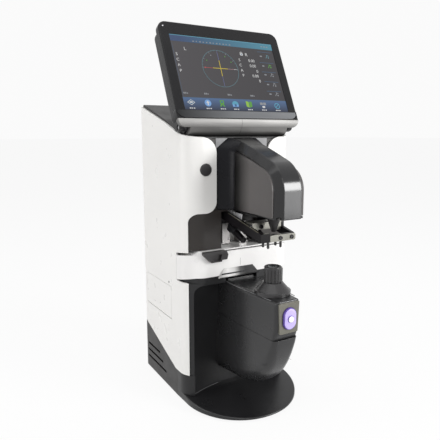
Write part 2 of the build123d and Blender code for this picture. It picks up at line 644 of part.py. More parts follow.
def housing_side(inset):
    """Side view of the lower housing, inset by a wall."""
    front, low, back, top = housing_front + inset, housing_bottom_z + inset, foot_rear - 3, housing_top_z - inset
    keel = Spline(
        (front, keel_z), (front + 2.6, 117.0 + inset * 0.1), (front + 8.6, 101.0 + inset * 0.3),
        (-87.6 + inset, 79.0 + inset * 0.5), (-73.2 + inset * 0.8, 56.5 + inset * 0.8),
        (-57.0 + inset * 0.5, 42.3 + inset), (-37.0, 31.8 + inset), (keel_y, low),
        tangents=[(0, -1), (1, 0)])
    return make_face([Line((front, top), (front, keel_z)), keel, Line((keel_y, low), (back, low)),
                      Line((back, low), (back, top)), Line((back, top), (front, top))])


def housing_plan(inset):
    """Plan of the lower housing: parallel, then tapering to its front."""
    nose, side = housing_nose_w - inset, housing_half_w - inset
    front = housing_front - 1
    return rounded((-side, foot_rear, 0), (-side, housing_taper_y, 25), (-nose, front, 0),
                   (nose, front, 0), (side, housing_taper_y, 25), (side, foot_rear, 0))


def housing_body(inset):
    """The whole housing as one solid."""
    return across(housing_side(inset), -40, 40) & upward(housing_plan(inset), 10, 180)


casing = housing_body(0)
keel_edges = casing.edges().filter_by(
    lambda edge: edge.center().Z < keel_z + 30 and abs(edge.center().X) > 5 and edge.center().Y < foot_rear - 4)
casing = fillet(keel_edges, keel_r)
top_edges = casing.edges().filter_by(
    lambda edge: abs(edge.center().Z - housing_top_z) < 0.01 and edge.center().Y < foot_rear - 4)
casing = fillet(top_edges, 1.8)
in_front = upward(scoop_circle(-0.2), foot_top_z, 170) & block(-90, 90, -140, 40, 0, 170)
walls_only = (casing & in_front) - housing_body(wall)
panel_half_w, panel_z0, panel_z1, panel_t = 12.6, 121.0, 157.0, 1.6
button_w, button_h, button_z = 17.0, 25.0, 138.5
upper_half = walls_only & block(-90, 90, -140, 60, housing_seam_z + seam / 2, 200)
upper_half -= along(Pos(0, button_z) * SlotOverall(button_h + 4, button_w + 4, rotation=90),
                    housing_front - 2, housing_front + wall + 1)
upper_half -= post(0, axis_y, housing_top_z - 5, housing_top_z + 5, 13.2)
upper_half += block(-housing_half_w + 4, housing_half_w - 4, -6.0, 12.0, housing_top_z, housing_top_z + 2.0)
save("housing_upper", upper_half)
save("housing_lower", walls_only & block(-90, 90, -140, 60, 0, housing_seam_z - seam / 2))

front_panel = along(rounded(
    (-panel_half_w, panel_z0, 1.5), (panel_half_w, panel_z0, 1.5),
    (panel_half_w + 1.6, panel_z1, 1.5), (-panel_half_w - 1.6, panel_z1, 1.5)),
    housing_front - panel_t, housing_front + 1.0)
front_panel -= along(Pos(0, button_z) * SlotOverall(button_h + 4, button_w + 4, rotation=90),
                     housing_front, housing_front + 2)
front_panel -= along(Pos(0, button_z) * SlotOverall(button_h + 0.6, button_w + 0.6, rotation=90),
                     housing_front - 3, housing_front + 1)
front_panel -= across(housing_side(-0.02), -30, 30)
save("button_panel", front_panel)
button_face = housing_front - panel_t - 1.2
button_travel = 1.2
button = along(Pos(0, button_z) * SlotOverall(button_h, button_w, rotation=90), button_face, housing_front + 0.1)
button = fillet(button.edges().filter_by_position(Axis.Y, button_face - 0.1, button_face + 0.1), 0.8)
button += along(Pos(0, button_z) * SlotOverall(button_h + 2.4, button_w + 2.4, rotation=90),
                housing_front + 0.05, housing_front + 1.2)
dot_r = 3.5
button -= rod_y(0, button_z, button_face - 1, button_face + 0.8, dot_r + 0.05)
save("memory_button", button)
save("button_lamp", rod_y(0, button_z, button_face - 0.15, button_face + 0.8, dot_r))

# Two identical switches, behind the memory button and the ear button
switch_gap = 0.2
switch_size = 6.0


def tact_switch(x, z, y):
    """A small switch whose plunger faces forward at y."""
    body = block(x - switch_size, x + switch_size, y + 1.6, y + 5.6, z - switch_size, z + switch_size)
    return body + rod_y(x, z, y, y + 1.7, 1.8)


button_back = housing_front + 1.2
memory_y = button_back + button_travel
memory_board = block(-20.4, 20.4, memory_y + 5.8, memory_y + 7.6, button_z - 9, button_z + 9)
memory_board &= upward(housing_plan(wall + 0.1), 10, 180)
ear_y = knob_back + knob_travel
ear_board = block(knob_x - 12, knob_x + 12, ear_y + 5.8, ear_y + 7.4, knob_z - 12, knob_z + 12)
for post_dx in (-9.5, 9.5):
    for post_dz in (-9.5, 9.5):
        ear_board += rod_y(knob_x + post_dx, knob_z + post_dz, panel_y + wall, ear_y + 6, 2.0)
ear_board -= ring(2 * wall + seam + 0.05, 250, 335) & block(-90, corner_r - half_w, -20, 30, 250, 335)
save("tact_switches", tact_switch(0, button_z, memory_y + switch_gap) + memory_board,
     tact_switch(knob_x, knob_z, ear_y + switch_gap) + ear_board)

# Lens rest: a rubber nosepiece on its round base
nose_lip_z = nose_base_z + 4.6
nose_cone_z = 173.0
nose_base = post(0, axis_y, nose_base_z, nose_lip_z, nose_base_r)
nose_base = chamfer(nose_base.edges().sort_by(Axis.Z)[-1], 0.5)
nose_base += Pos(0, axis_y, (nose_lip_z + nose_cone_z) / 2) * Cone(nose_base_r - 1.2, nose_r + 1.6, nose_cone_z - nose_lip_z)
nose_base += post(0, axis_y, housing_top_z - 6, nose_base_z, 13.0)
nose_bore = 6.4
nose_base -= post(0, axis_y, housing_top_z - 8, nose_cone_z + 1, nose_bore)
save("nosepiece_base", nose_base)
tube = post(0, axis_y, nose_cone_z, nose_top_z, nose_r)
tube = fillet(tube.edges().sort_by(Axis.Z)[-1], 1.2)
rib_count = 16
for rib in range(rib_count):
    angle = 2 * pi * rib / rib_count
    tube -= post(nose_r * cos(angle), axis_y + nose_r * sin(angle), nose_cone_z - 1, nose_top_z - 3, 0.7)
tube -= post(0, axis_y, nose_cone_z - 1, nose_top_z + 1, nose_bore)
tube -= post(0, axis_y, nose_top_z - 3, nose_top_z + 1, nose_bore + 1.2)
save("nosepiece_tube", tube)
save("cover_glass", post(0, axis_y, nose_top_z - 3, nose_top_z - 1.6, nose_bore + 1.1))

# Lower optics: arm, objective barrel and sensor board
lower_arm_z0, lower_arm_z1 = 92.0, 110.0
lower_arm = block(-12, 12, axis_y, chassis_y, lower_arm_z0, lower_arm_z1)
lower_arm += block(-20, 20, chassis_y - 4, chassis_y, 84, 140)
lower_arm += post(0, axis_y, lower_arm_z0, lower_arm_z1, 15.5)
for web in range(3):
    lower_arm -= across(Pos(-40 + 20 * web, (lower_arm_z0 + lower_arm_z1) / 2) * RectangleRounded(14, 11, 3), -20, 20)
objective_r = 12.5
lower_arm -= post(0, axis_y, lower_arm_z0 - 1, lower_arm_z1 + 1, objective_r + 0.05)
save("lower_arm", lower_arm)
objective = post(0, axis_y, 90, 150, objective_r) - post(0, axis_y, 89, 151, 10.5)
objective += post(0, axis_y, 142, 145, 10.6)
for row in (-1, 0, 1):
    for column in (-1, 0, 1):
        objective -= post(3.4 * row, axis_y + 3.4 * column, 141, 146, 0.9)
save("objective_barrel", objective)
sensor = block(-13.5, 13.5, axis_y - 12, axis_y + 15, 87.4, 89.0) + block(-5, 5, axis_y - 4, axis_y + 4, 89.0, 90.6)
save("sensor_board", sensor + post(0, axis_y, 89.0, 90.0, 11.5))

# Lens holder: a fork on two upright rails, with four pins
rail_x0, rail_x1, rail_front = 7.5, 18.5, 10.0
rail_z0, rail_z1 = 204.4, 247.5
arm_x0, arm_x1 = 20.6, 24.4
fork_front, fork_back = -81.0, -78.0
fork_z0, fork_z1 = 222.0, 230.0
arm_face = rounded((fork_front - 3, 223.4, 1), (fork_back - 3, 223.4, 4), (4, 238.4, 6), (10, 231.0, 1),
                   (17, 231.0, 1), (17, 247.4, 1), (-8, 247.4, 8), (fork_front - 3, 232.4, 1.5))
left_arm = across(arm_face, -arm_x1, -arm_x0)
left_arm += block(-arm_x1, -11.6, fork_front - 3, fork_back, 223.4, 232.2)
right_face = rounded((fork_front, fork_z0, 1), (fork_back + 3, fork_z0, 6), (4, 238.4, 6), (10, 231.0, 1),
                     (17, 231.0, 1), (17, 247.4, 1), (-8, 246.0, 8), (fork_front, fork_z1, 1))
right_arm = across(right_face, arm_x0, arm_x1)
crossbar = block(-arm_x1, arm_x1, fork_front, fork_back, fork_z0, fork_z1)
shoe_clear = 0.25
shoe = block(rail_x0 - 2.5, arm_x1, 4.0, 17.0, 231.0, 247.0) - block(
    rail_x0 - shoe_clear, rail_x1 + shoe_clear, rail_front - shoe_clear, 18, 230, 248)
fork = left_arm + right_arm + crossbar + shoe + mirror_x(shoe)
pin_x, pin_bar_w, pin_stub_r = 8.8, 3.4, 0.9
pin_ys = (-75.9, -66.0)
pin_bar_z0, pin_bar_z1 = fork_z0, 226.5
pin_places = [(side * pin_x, pin_y) for side in (-1, 1) for pin_y in pin_ys]
for side in (-1, 1):
    fork += block(side * pin_x - pin_bar_w / 2, side * pin_x + pin_bar_w / 2, fork_back - 0.5,
                  pin_ys[1] + 2.5, pin_bar_z0, pin_bar_z1)
for place_x, place_y in pin_places:
    fork -= post(place_x, place_y, 210, 240, pin_stub_r + 0.05)
save("lens_holder_fork", fork)
cross_plate_t = 2.2
cross_plate = along(rounded(
    (-11.3, fork_z0 + 0.2, 0.5), (arm_x1, fork_z0 + 0.2, 2), (arm_x1, fork_z1 - 0.3, 2),
    (-11.3, fork_z1 - 0.3, 0.5)), fork_front - cross_plate_t, fork_front)
screw_xs = (3.2, 19.0)
screw_z = 225.9
for screw_x in screw_xs:
    cross_plate -= rod_y(screw_x, screw_z, -95, -70, 1.4)
bracket_y = -60.0
bracket_z0, bracket_z1 = 230.3, 241.0
bracket = along(rounded(
    (-20.4, bracket_z0, 0), (20.4, bracket_z0, 0), (20.4, bracket_z1, 1), (-20.4, bracket_z1, 1)),
    bracket_y - 1.0, bracket_y + 1.0)
bracket += block(-20.4, 20.4, bracket_y - 1.0, bracket_y + 14, bracket_z1 - 2, bracket_z1)
bracket -= along(Pos(0, bracket_z0) * SlotOverall(26, 5.0), bracket_y - 2, bracket_y + 2)
bracket_screw_xs = (-7.9, 7.9)
bracket_screw_z = 236.2
for screw_x in bracket_screw_xs:
    bracket -= rod_y(screw_x, bracket_screw_z, -70, -50, 1.4)
save("lens_holder_plates", cross_plate, bracket)
save("lens_holder_screws", *[
    rod_y(x, screw_z, fork_front - cross_plate_t - 1.0, fork_front - cross_plate_t, 2.5)
    + rod_y(x, screw_z, fork_front - cross_plate_t, fork_front, 1.35) for x in screw_xs], *[
    rod_y(x, bracket_screw_z, bracket_y - 2.0, bracket_y - 1.0, 2.5)
    + rod_y(x, bracket_screw_z, bracket_y - 1.0, bracket_y + 1.0, 1.35) for x in bracket_screw_xs])
pins = []
for place_x, place_y in pin_places:
    pin = post(place_x, place_y, lens_gap_top, pin_bar_z0, 1.5)
    pin = chamfer(pin.edges().sort_by(Axis.Z)[0], 0.9)
    pins.append(pin + post(place_x, place_y, pin_bar_z0, pin_bar_z1, pin_stub_r))
save("lens_holder_pins", *pins)

# Counterbalance springs under the lens holder's shoes
coil_r, wire_r, coil_turns = 2.6, 0.45, 6
spring_x, spring_y = 21.9, 13.4
spring_z0, spring_z1 = rail_z0 + 0.2, 230.8


def upright_coil(x):
    """A spring of one unbroken wire."""
    height = spring_z1 - spring_z0 - 2 * wire_r
    path = Helix(pitch=height / coil_turns, height=height, radius=coil_r)
    section = Plane(origin=path @ 0, z_dir=path % 0) * RegularPolygon(wire_r, 5)
    return Pos(x, spring_y, spring_z0 + wire_r) * sweep(section, path=path, is_frenet=True)


save("lens_holder_springs", upright_coil(-spring_x), upright_coil(spring_x))
spring_seat = block(rail_x1 - 1, spring_x + 3.2, spring_y - 3.2, chassis_y, rail_z0 - 1.8, rail_z0)
rail = block(rail_x0, rail_x1, rail_front, chassis_y, rail_z0 - 1.8, rail_z1) + spring_seat
save("lens_holder_rails", rail, mirror_x(rail))

# Marking unit: three pens on a bar that slides forward and down
pen_pitch, pen_r, pen_angle = 15.0, 4.0, 22.7
pen_tip_y, pen_tip_z = -37.0, 214.5
pen_len = 28.0
marker_travel = 39.5
bar_half = 4.4
marker_axis = Plane(origin=(0, pen_tip_y, pen_tip_z), x_dir=(1, 0, 0),
                    z_dir=(0, cos(radians(pen_angle)), sin(radians(pen_angle))))
block_len = 8.0
bar_len = 96.0
pens = []
for place in (-1, 0, 1):
    pen = Pos(0, 0, 3) * Cylinder(pen_r, pen_len - 3, align=(Align.CENTER, Align.CENTER, Align.MIN))
    pen += Cone(1.2, pen_r - 0.6, 3, align=(Align.CENTER, Align.CENTER, Align.MIN))
    pens.append(marker_axis * (Pos(place * pen_pitch, 0, 0) * pen))
save("marker_pens", *pens)
carriage = Pos(0, 0, pen_len + block_len / 2) * Box(2 * pen_pitch + 2 * pen_r, 9.5, block_len)
carriage += Pos(0, 0, pen_len + block_len + (bar_len - block_len) / 2) * Box(
    2 * bar_half, 2 * bar_half, bar_len - block_len)
for place in (-1, 0, 1):
    collar = Pos(place * pen_pitch, 0, pen_len - 7) * (Cylinder(pen_r + 0.9, 7.1, align=(
        Align.CENTER, Align.CENTER, Align.MIN)) - Cylinder(pen_r + 0.05, 7.05, align=(
            Align.CENTER, Align.CENTER, Align.MIN)))
    carriage += collar
save("marker_slide", marker_axis * carriage)
guide_from, guide_to = 68.0, 92.0
guide = Pos(0, 0, (guide_from + guide_to) / 2) * Box(2 * bar_half + 7, 2 * bar_half + 7, guide_to - guide_from)
guide -= Pos(0, 0, (guide_from + guide_to) / 2) * Box(2 * bar_half + 0.2, 2 * bar_half + 0.2, 60)
guide = marker_axis * guide
guide_back = block(-20, 20, chassis_y + chassis_t, chassis_y + chassis_t + 2.5, 222, 262)
guide_back -= marker_axis * (Pos(0, 0, 80) * Box(2 * bar_half + 0.6, 2 * bar_half + 0.6, 90))
guide = (guide & block(-40, 40, chassis_y + chassis_t, 90, 200, 290)) + guide_back
save("marker_guide", guide)

# Boards inside the column
board = block(-50, 50, 96, 97.6, 180, 290)
for chip_x, chip_z in ((-20.0, 220.0), (15.0, 245.0), (25.0, 205.0)):
    board += block(chip_x - 9, chip_x + 9, 92.5, 96, chip_z - 9, chip_z + 9)
for post_x in (-46.0, 46.0):
    for post_z in (186.0, 284.0):
        board += rod_y(post_x, post_z, 97.6, body_rear - wall, 3.0)
save("main_board", board)
supply = block(-26, 60, 44, 106, plate_z + chassis_t, plate_z + chassis_t + 1.6)
supply += block(-20, 8, 52, 84, plate_z + 4, plate_z + 34) + block(20, 50, 56, 96, plate_z + 4, plate_z + 26)
for can_x in (-12.0, 4.0):
    supply += post(can_x, 95, plate_z + 4, plate_z + 32, 6.5)
save("power_supply", supply)

# Screen: bezel, display, back and chin, on one plane that leans back
lean = radians(screen_tilt)
screen_plane = Plane(origin=(0, screen_base_y, screen_base_z), x_dir=(1, 0, 0), z_dir=(0, -cos(lean), sin(lean)))


def on_screen(v, w):
    """The point (y, z) at v up the screen's plane and w out of it."""
    return (screen_base_y + v * sin(lean) - w * cos(lean), screen_base_z + v * cos(lean) + w * sin(lean))


def slab(width, v0, v1, w0, w1, r):
    """A rounded slab on the screen's plane, from v0 to v1 up it and w0 to w1 out of it."""
    face = Pos(0, (v0 + v1) / 2, w0) * RectangleRounded(width, v1 - v0, r)
    return extrude(face, w1 - w0)


glass_t, glass_margin, glass_drop = 2.0, 0.9, 0.6
glass_v0, glass_v1 = display_v - glass_margin, display_v + display_h + glass_margin
glass_w = display_w + 2 * glass_margin
bezel = slab(screen_w, 0, screen_h, -bezel_t, 0, screen_r)
bezel = fillet(bezel.faces().sort_by(Axis.Z)[-1].edges(), 1.6)
bezel -= slab(display_w, display_v, display_v + display_h, -bezel_t - 1, 1, 0.8)
bezel -= slab(glass_w, glass_v0, glass_v1, -bezel_t - 1, -glass_drop, 1.0)
save("screen_bezel", screen_plane * bezel)
display = slab(glass_w - 0.4, glass_v0 + 0.2, glass_v1 - 0.2, -glass_drop - glass_t, -glass_drop, 0.9)
lcd = slab(glass_w - 6, glass_v0 + 3, glass_v1 - 3, -bezel_t - 2, -glass_drop - glass_t, 1.0)
save("display_panel", screen_plane * (display + lcd))
back_inset = 3.4
back = slab(screen_w - 2 * back_inset, 0.4, screen_h - back_inset, -screen_t, -bezel_t - 0.4, screen_r - 2)
back = fillet(back.faces().sort_by(Axis.Z)[0].edges(), 6.0)
back -= slab(screen_w - 2 * back_inset - 2 * wall, 3, screen_h - back_inset - wall, -screen_t + wall, -bezel_t + 1,
             screen_r - 4)
for row in range(4):
    back -= Pos(0, 92 + 6 * row, -screen_t) * extrude(SlotOverall(50, 2.4), 2 * wall)

chin_front = on_screen(-0.5, -0.2)
chin_rear = on_screen(-0.4, 3 - screen_t)
chin_side = outline(chin_front, ((-4.4, 348.0), (3.0, chin_low_z + 0.3)), ((10.0, 339.8), chin_rear))
chin = across(chin_side, -chin_half_w, chin_half_w)
chin -= rod_x_axis(-90, 90, hinge_y, hinge_z, pin_r + 0.05)
chin -= block(-60, 60, 0, 11, 343.5, 351.5)
save("screen_chin", chin)
bracket_x0, bracket_x1 = chin_half_w + 0.4, 74.5
upright_x1 = bracket_x0 + 2.4    # thinner where it passes inside the shell's round corner
hinge_eye_r = 4.6
eye = rod_x_axis(bracket_x0, bracket_x1, hinge_y, hinge_z, hinge_eye_r)
upright = across(Polygon((2.0, 345.6), (7.5, 343.0), (7.5, 296), (14.0, 296), (14.0, 345.2), (9.5, 349.0),
                         (2.0, 349.0), align=None), bracket_x0, upright_x1)
tail = block(bracket_x0, upright_x1, 7.5, 42, 296, 312)
spacer = block(chassis_half_w, bracket_x0 + 0.1, 29, 42, 296, 312)
hinge_bracket = eye + upright + tail + spacer - rod_x_axis(60, 80, hinge_y, hinge_z, pin_r + 0.05)
save("hinge_brackets", hinge_bracket, mirror_x(hinge_bracket))
cap_x1 = 81.0
pin = rod_x_axis(60.5, cap_x1 - 1, hinge_y, hinge_z, pin_r)
save("hinge_pins", pin, mirror_x(pin))
cap_top_v = 6.0          # the caps run this far up into the back
ear_side = outline(
    on_screen(cap_top_v, -bezel_t - 1), (on_screen(0, -bezel_t - 1),),
    ((-0.4, 350.2), (4.5, 345.2)), ((12.0, 345.2), on_screen(-0.4, 3 - screen_t)),
    (on_screen(cap_top_v, 3 - screen_t),))
end_cap = across(ear_side, bracket_x1 + 0.6, cap_x1) - rod_x_axis(60, 90, hinge_y, hinge_z, pin_r + 0.05)
save("screen_back", screen_plane * back + end_cap + mirror_x(end_cap))
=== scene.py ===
import bmesh
import bpy
from math import cos, pi, radians, sin, sqrt
from mathutils import Matrix, Vector


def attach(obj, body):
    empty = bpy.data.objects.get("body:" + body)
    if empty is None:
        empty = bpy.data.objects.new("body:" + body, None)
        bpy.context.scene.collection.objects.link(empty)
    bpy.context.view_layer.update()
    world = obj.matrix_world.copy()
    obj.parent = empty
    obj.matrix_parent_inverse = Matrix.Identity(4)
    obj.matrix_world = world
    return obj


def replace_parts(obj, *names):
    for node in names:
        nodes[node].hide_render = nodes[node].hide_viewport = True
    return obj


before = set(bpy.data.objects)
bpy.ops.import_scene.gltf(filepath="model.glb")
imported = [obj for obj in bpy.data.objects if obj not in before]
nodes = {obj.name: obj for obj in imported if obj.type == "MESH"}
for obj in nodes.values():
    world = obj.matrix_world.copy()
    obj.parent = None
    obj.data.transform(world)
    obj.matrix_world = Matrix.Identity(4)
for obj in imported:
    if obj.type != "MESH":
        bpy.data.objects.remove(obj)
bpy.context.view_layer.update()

# Lengths below are millimetres in the drawing's frame, unless a comment says metres.
# A place's Y there is larger than in the row's frame, by this shift.
MM = 0.001
SHIFT_Y = 11.75


def at(x, y, z):
    """A point of the drawing, in the row's metres."""
    return Vector((x, y - SHIFT_Y, z)) * MM


def add_object(name, data):
    """A new object of the scene."""
    made = bpy.data.objects.new(name, data)
    bpy.context.scene.collection.objects.link(made)
    return made


# Materials
NOISE_LOW, NOISE_HIGH = 0.3, 0.7                    # most of a noise's values lie between these
GLOSS_CLOUD = 3.1                                   # how much finer the gloss varies than the colour
BEVEL_SAMPLES = 6
RELIEF_DEPTH = 0.0002                               # metres
MIX_FACTOR, MIX_A, MIX_B, MIX_RESULT = 0, 6, 7, 2   # a mix node's sockets for colours


def ramp_between(tree, low, high):
    """A colour ramp from one colour to another."""
    ramp = tree.nodes.new("ShaderNodeValToRGB")
    ramp.color_ramp.elements[0].position = NOISE_LOW
    ramp.color_ramp.elements[1].position = NOISE_HIGH
    ramp.color_ramp.elements[0].color = (*low, 1)
    ramp.color_ramp.elements[1].color = (*high, 1)
    return ramp


def noise(tree, vector, scale, detail=3.0):
    """Noise over the object's own coordinates."""
    texture = tree.nodes.new("ShaderNodeTexNoise")
    texture.inputs["Scale"].default_value = scale
    texture.inputs["Detail"].default_value = detail
    tree.links.new(vector, texture.inputs["Vector"])
    return texture


def share_along(tree, coords, axis, start, end):
    """How far a point lies along one axis of the object: 0 at start, 1 at end, both in metres."""
    split = tree.nodes.new("ShaderNodeSeparateXYZ")
    tree.links.new(coords.outputs["Object"], split.inputs["Vector"])
    span = tree.nodes.new("ShaderNodeMapRange")
    span.inputs["From Min"].default_value = start
    span.inputs["From Max"].default_value = end
    tree.links.new(split.outputs[axis], span.inputs["Value"])
    return span.outputs["Result"]


def faded(tree, coords, colour, axis, stops):
    """The colour times a level that changes along one axis, painting light and shade on it; stops are
    (metres, level).
    """
    start, end = stops[0][0], stops[-1][0]
    shades = tree.nodes.new("ShaderNodeValToRGB")
    while len(shades.color_ramp.elements) < len(stops):
        shades.color_ramp.elements.new(0.5)
    for element, (place, level) in zip(shades.color_ramp.elements, stops):
        element.position = (place - start) / (end - start)
        element.color = (level, level, level, 1)
    tree.links.new(share_along(tree, coords, axis, start, end), shades.inputs["Fac"])
    product = tree.nodes.new("ShaderNodeMix")
    product.data_type = "RGBA"
    product.blend_type = "MULTIPLY"
    product.inputs[MIX_FACTOR].default_value = 1.0
    tree.links.new(colour, product.inputs[MIX_A])
    tree.links.new(shades.outputs["Color"], product.inputs[MIX_B])
    return product.outputs[MIX_RESULT]


def material(name, rgb, rough, metallic=0.0, tint=0.05, cloud=16.0, spread=0.05, grain=1400.0, bump=0.05,
             stretch=(1, 1, 1), edge=0.35, ior=1.5, transmission=0.0, fade=None):
    """A finish with clouded colour, uneven gloss, fine grain and softened edges; where a fade is given, it
    paints light and shade along one axis.
    """
    made = bpy.data.materials.new(name)
    made.use_nodes = True
    tree = made.node_tree
    shader = tree.nodes["Principled BSDF"]
    shader.inputs["Metallic"].default_value = metallic
    shader.inputs["IOR"].default_value = ior
    shader.inputs["Transmission Weight"].default_value = transmission
    coords = tree.nodes.new("ShaderNodeTexCoord")
    mapping = tree.nodes.new("ShaderNodeMapping")
    mapping.inputs["Scale"].default_value = stretch
    tree.links.new(coords.outputs["Object"], mapping.inputs["Vector"])
    vector = mapping.outputs["Vector"]
    clouds = noise(tree, vector, cloud)
    ramp = ramp_between(tree, [c * (1 - tint) for c in rgb], [min(c * (1 + tint), 1) for c in rgb])
    tree.links.new(clouds.outputs["Fac"], ramp.inputs["Fac"])
    colour = ramp.outputs["Color"]
    if fade:
        colour = faded(tree, coords, colour, *fade)
    tree.links.new(colour, shader.inputs["Base Color"])
    gloss = tree.nodes.new("ShaderNodeMapRange")
    gloss.inputs["From Min"].default_value = NOISE_LOW
    gloss.inputs["From Max"].default_value = NOISE_HIGH
    gloss.inputs["To Min"].default_value = max(rough - spread, 0.02)
    gloss.inputs["To Max"].default_value = rough + spread
    tree.links.new(noise(tree, vector, cloud * GLOSS_CLOUD).outputs["Fac"], gloss.inputs["Value"])
    tree.links.new(gloss.outputs["Result"], shader.inputs["Roughness"])
    normal = None
    if edge:
        soft = tree.nodes.new("ShaderNodeBevel")
        soft.samples = BEVEL_SAMPLES
        soft.inputs["Radius"].default_value = edge * MM
        normal = soft.outputs["Normal"]
    if bump:
        relief = tree.nodes.new("ShaderNodeBump")
        relief.inputs["Strength"].default_value = bump
        relief.inputs["Distance"].default_value = RELIEF_DEPTH
        tree.links.new(noise(tree, vector, grain, 2.0).outputs["Fac"], relief.inputs["Height"])
        if normal:
            tree.links.new(normal, relief.inputs["Normal"])
        normal = relief.outputs["Normal"]
    if normal:
        tree.links.new(normal, shader.inputs["Normal"])
    return made


def glowing(name, low, high, axis, start, end, rough=0.25):
    """A lit area of the display whose colour runs along one axis, between two places in metres."""
    made = bpy.data.materials.new(name)
    made.use_nodes = True
    tree = made.node_tree
    shader = tree.nodes["Principled BSDF"]
    shader.inputs["Base Color"].default_value = (0.004, 0.004, 0.005, 1)
    shader.inputs["Roughness"].default_value = rough
    shader.inputs["Emission Strength"].default_value = 1.0
    coords = tree.nodes.new("ShaderNodeTexCoord")
    ramp = tree.nodes.new("ShaderNodeValToRGB")
    ramp.color_ramp.elements[0].color = (*low, 1)
    ramp.color_ramp.elements[1].color = (*high, 1)
    tree.links.new(share_along(tree, coords, axis, start, end), ramp.inputs["Fac"])
    tree.links.new(ramp.outputs["Color"], shader.inputs["Emission Color"])
    return made


white = material("white_shell", (0.82, 0.81, 0.79), 0.30, tint=0.015, spread=0.03, bump=0.02)
white_table = material("white_table", (0.82, 0.81, 0.80), 0.30, tint=0.01, spread=0.03, bump=0.02)
charcoal = material("charcoal_plastic", (0.017, 0.016, 0.016), 0.42, tint=0.12, grain=2600, bump=0.10,
                    ior=1.38)
cover_black = material("cover_black", (0.018, 0.018, 0.019), 0.34, tint=0.10, grain=2200, bump=0.04, ior=1.36)
foot_black = material("foot_black", (0.014, 0.014, 0.015), 0.32, tint=0.10, grain=1800, bump=0.02, ior=1.42)
housing_black = material("housing_black", (0.022, 0.022, 0.023), 0.28, tint=0.06, cloud=9, grain=2400,
                         bump=0.015, edge=0.5, ior=1.45)
gloss_black = material("gloss_black", (0.008, 0.008, 0.009), 0.16, tint=0.08, spread=0.02, grain=700,
                       bump=0.004, edge=1.6)
neck_black = material("neck_black", (0.008, 0.008, 0.010), 0.28, tint=0.08, spread=0.03, bump=0.01, edge=1.0,
                      ior=1.22)
bezel_black = material("bezel_black", (0.010, 0.010, 0.011), 0.24, tint=0.08, spread=0.03, bump=0.02,
                       ior=1.30)
back_black = material("back_black", (0.015, 0.015, 0.016), 0.42, tint=0.10, grain=2200, bump=0.08, ior=1.4)
# Painted shade: the head's side panels darken toward the column, from full brightness at Y -0.069 m down to
# 0.03 at Y -0.036 m, and to 0.85 at the front.
flank_grey = material("flank_grey", (0.105, 0.098, 0.096), 0.34, tint=0.05, spread=0.03, bump=0.03,
                      edge=1.2, ior=1.3, fade=("Y", (
                          (-0.111, 0.85), (-0.0688, 1.0), (-0.0588, 0.65), (-0.0448, 0.12), (-0.0358, 0.03))))
panel_brown = material("panel_brown", (0.026, 0.022, 0.020), 0.38, tint=0.08, bump=0.05, ior=1.38)
# Painted shade and highlight: the chin and the fascia darken toward their lower edge, down to 0.12 at the
# bottom, with a brighter band about Z 0.345 m.
chin_metal = material("chin_metal", (0.19, 0.187, 0.182), 0.50, metallic=0.8, tint=0.06, cloud=9,
                      stretch=(0.4, 6, 6), grain=900, bump=0.03,
                      fade=("Z", ((0.339, 0.12), (0.3415, 0.55), (0.345, 1.1), (0.350, 0.85), (0.360, 1.0))))
pale_metal = material("pale_metal", (0.185, 0.182, 0.162), 0.34, metallic=0.85, tint=0.08, cloud=40,
                      grain=1500, bump=0.04, edge=0.2)
rail_metal = material("rail_metal", (0.30, 0.29, 0.285), 0.30, metallic=0.8, tint=0.06, cloud=60,
                      stretch=(6, 6, 0.4), bump=0.04, edge=0.4)
steel = material("brushed_steel", (0.55, 0.55, 0.56), 0.28, metallic=1.0, tint=0.06, stretch=(8, 8, 0.5),
                 grain=900, bump=0.03, edge=0.15)
spring_steel = material("spring_steel", (0.50, 0.50, 0.52), 0.22, metallic=1.0, tint=0.05, cloud=120, edge=0)
black_steel = material("black_steel", (0.020, 0.020, 0.022), 0.30, metallic=0.2, tint=0.10, bump=0.04,
                       edge=0.2)
clamp_black = material("clamp_black", (0.007, 0.006, 0.007), 0.34, tint=0.12, cloud=40, bump=0.03, edge=0.3,
                       ior=1.24)
screw_black = material("screw_black", (0.018, 0.017, 0.018), 0.24, metallic=0.3, tint=0.10, cloud=90,
                       edge=0.1)
rubber = material("rubber", (0.018, 0.018, 0.018), 0.55, tint=0.10, grain=3200, bump=0.12)
nose_black = material("nose_black", (0.022, 0.021, 0.022), 0.30, tint=0.10, cloud=60, grain=2600, bump=0.05)
slider_grey = material("slider_grey", (0.022, 0.020, 0.021), 0.34, tint=0.10, cloud=60, bump=0.06)
knob_black = material("knob_black", (0.016, 0.015, 0.016), 0.33, tint=0.08, bump=0.05, edge=0.3)
panel_olive = material("panel_olive", (0.13, 0.125, 0.10), 0.33, tint=0.06, cloud=50, bump=0.03)
violet = material("button_violet", (0.50, 0.42, 0.80), 0.22, tint=0.05, cloud=70, spread=0.02, bump=0.01)
violet_dark = material("button_well", (0.035, 0.018, 0.11), 0.35, tint=0.10, cloud=70, bump=0.02, edge=0)
# Painted shade: a darker copy of the button's violet for the cap's side and the dot's rim.
violet_painted_shade = material("button_painted_shade", (0.14, 0.09, 0.40), 0.30, tint=0.10, cloud=70, bump=0.02, edge=0)
# Painted highlights: thin light grey lines and plates where edges, creases and sloping tops catch the light.
highlight_grey = material("highlight_grey", (0.16, 0.16, 0.165), 0.35, tint=0.15, cloud=30, bump=0.02, edge=0)
seam_dark = material("seam_dark", (0.006, 0.006, 0.006), 0.60, tint=0.15, cloud=30, bump=0.02, edge=0)
arm_metal = material("arm_metal", (0.55, 0.55, 0.56), 0.30, metallic=0.7, tint=0.08, cloud=60, grain=900,
                     bump=0.03)
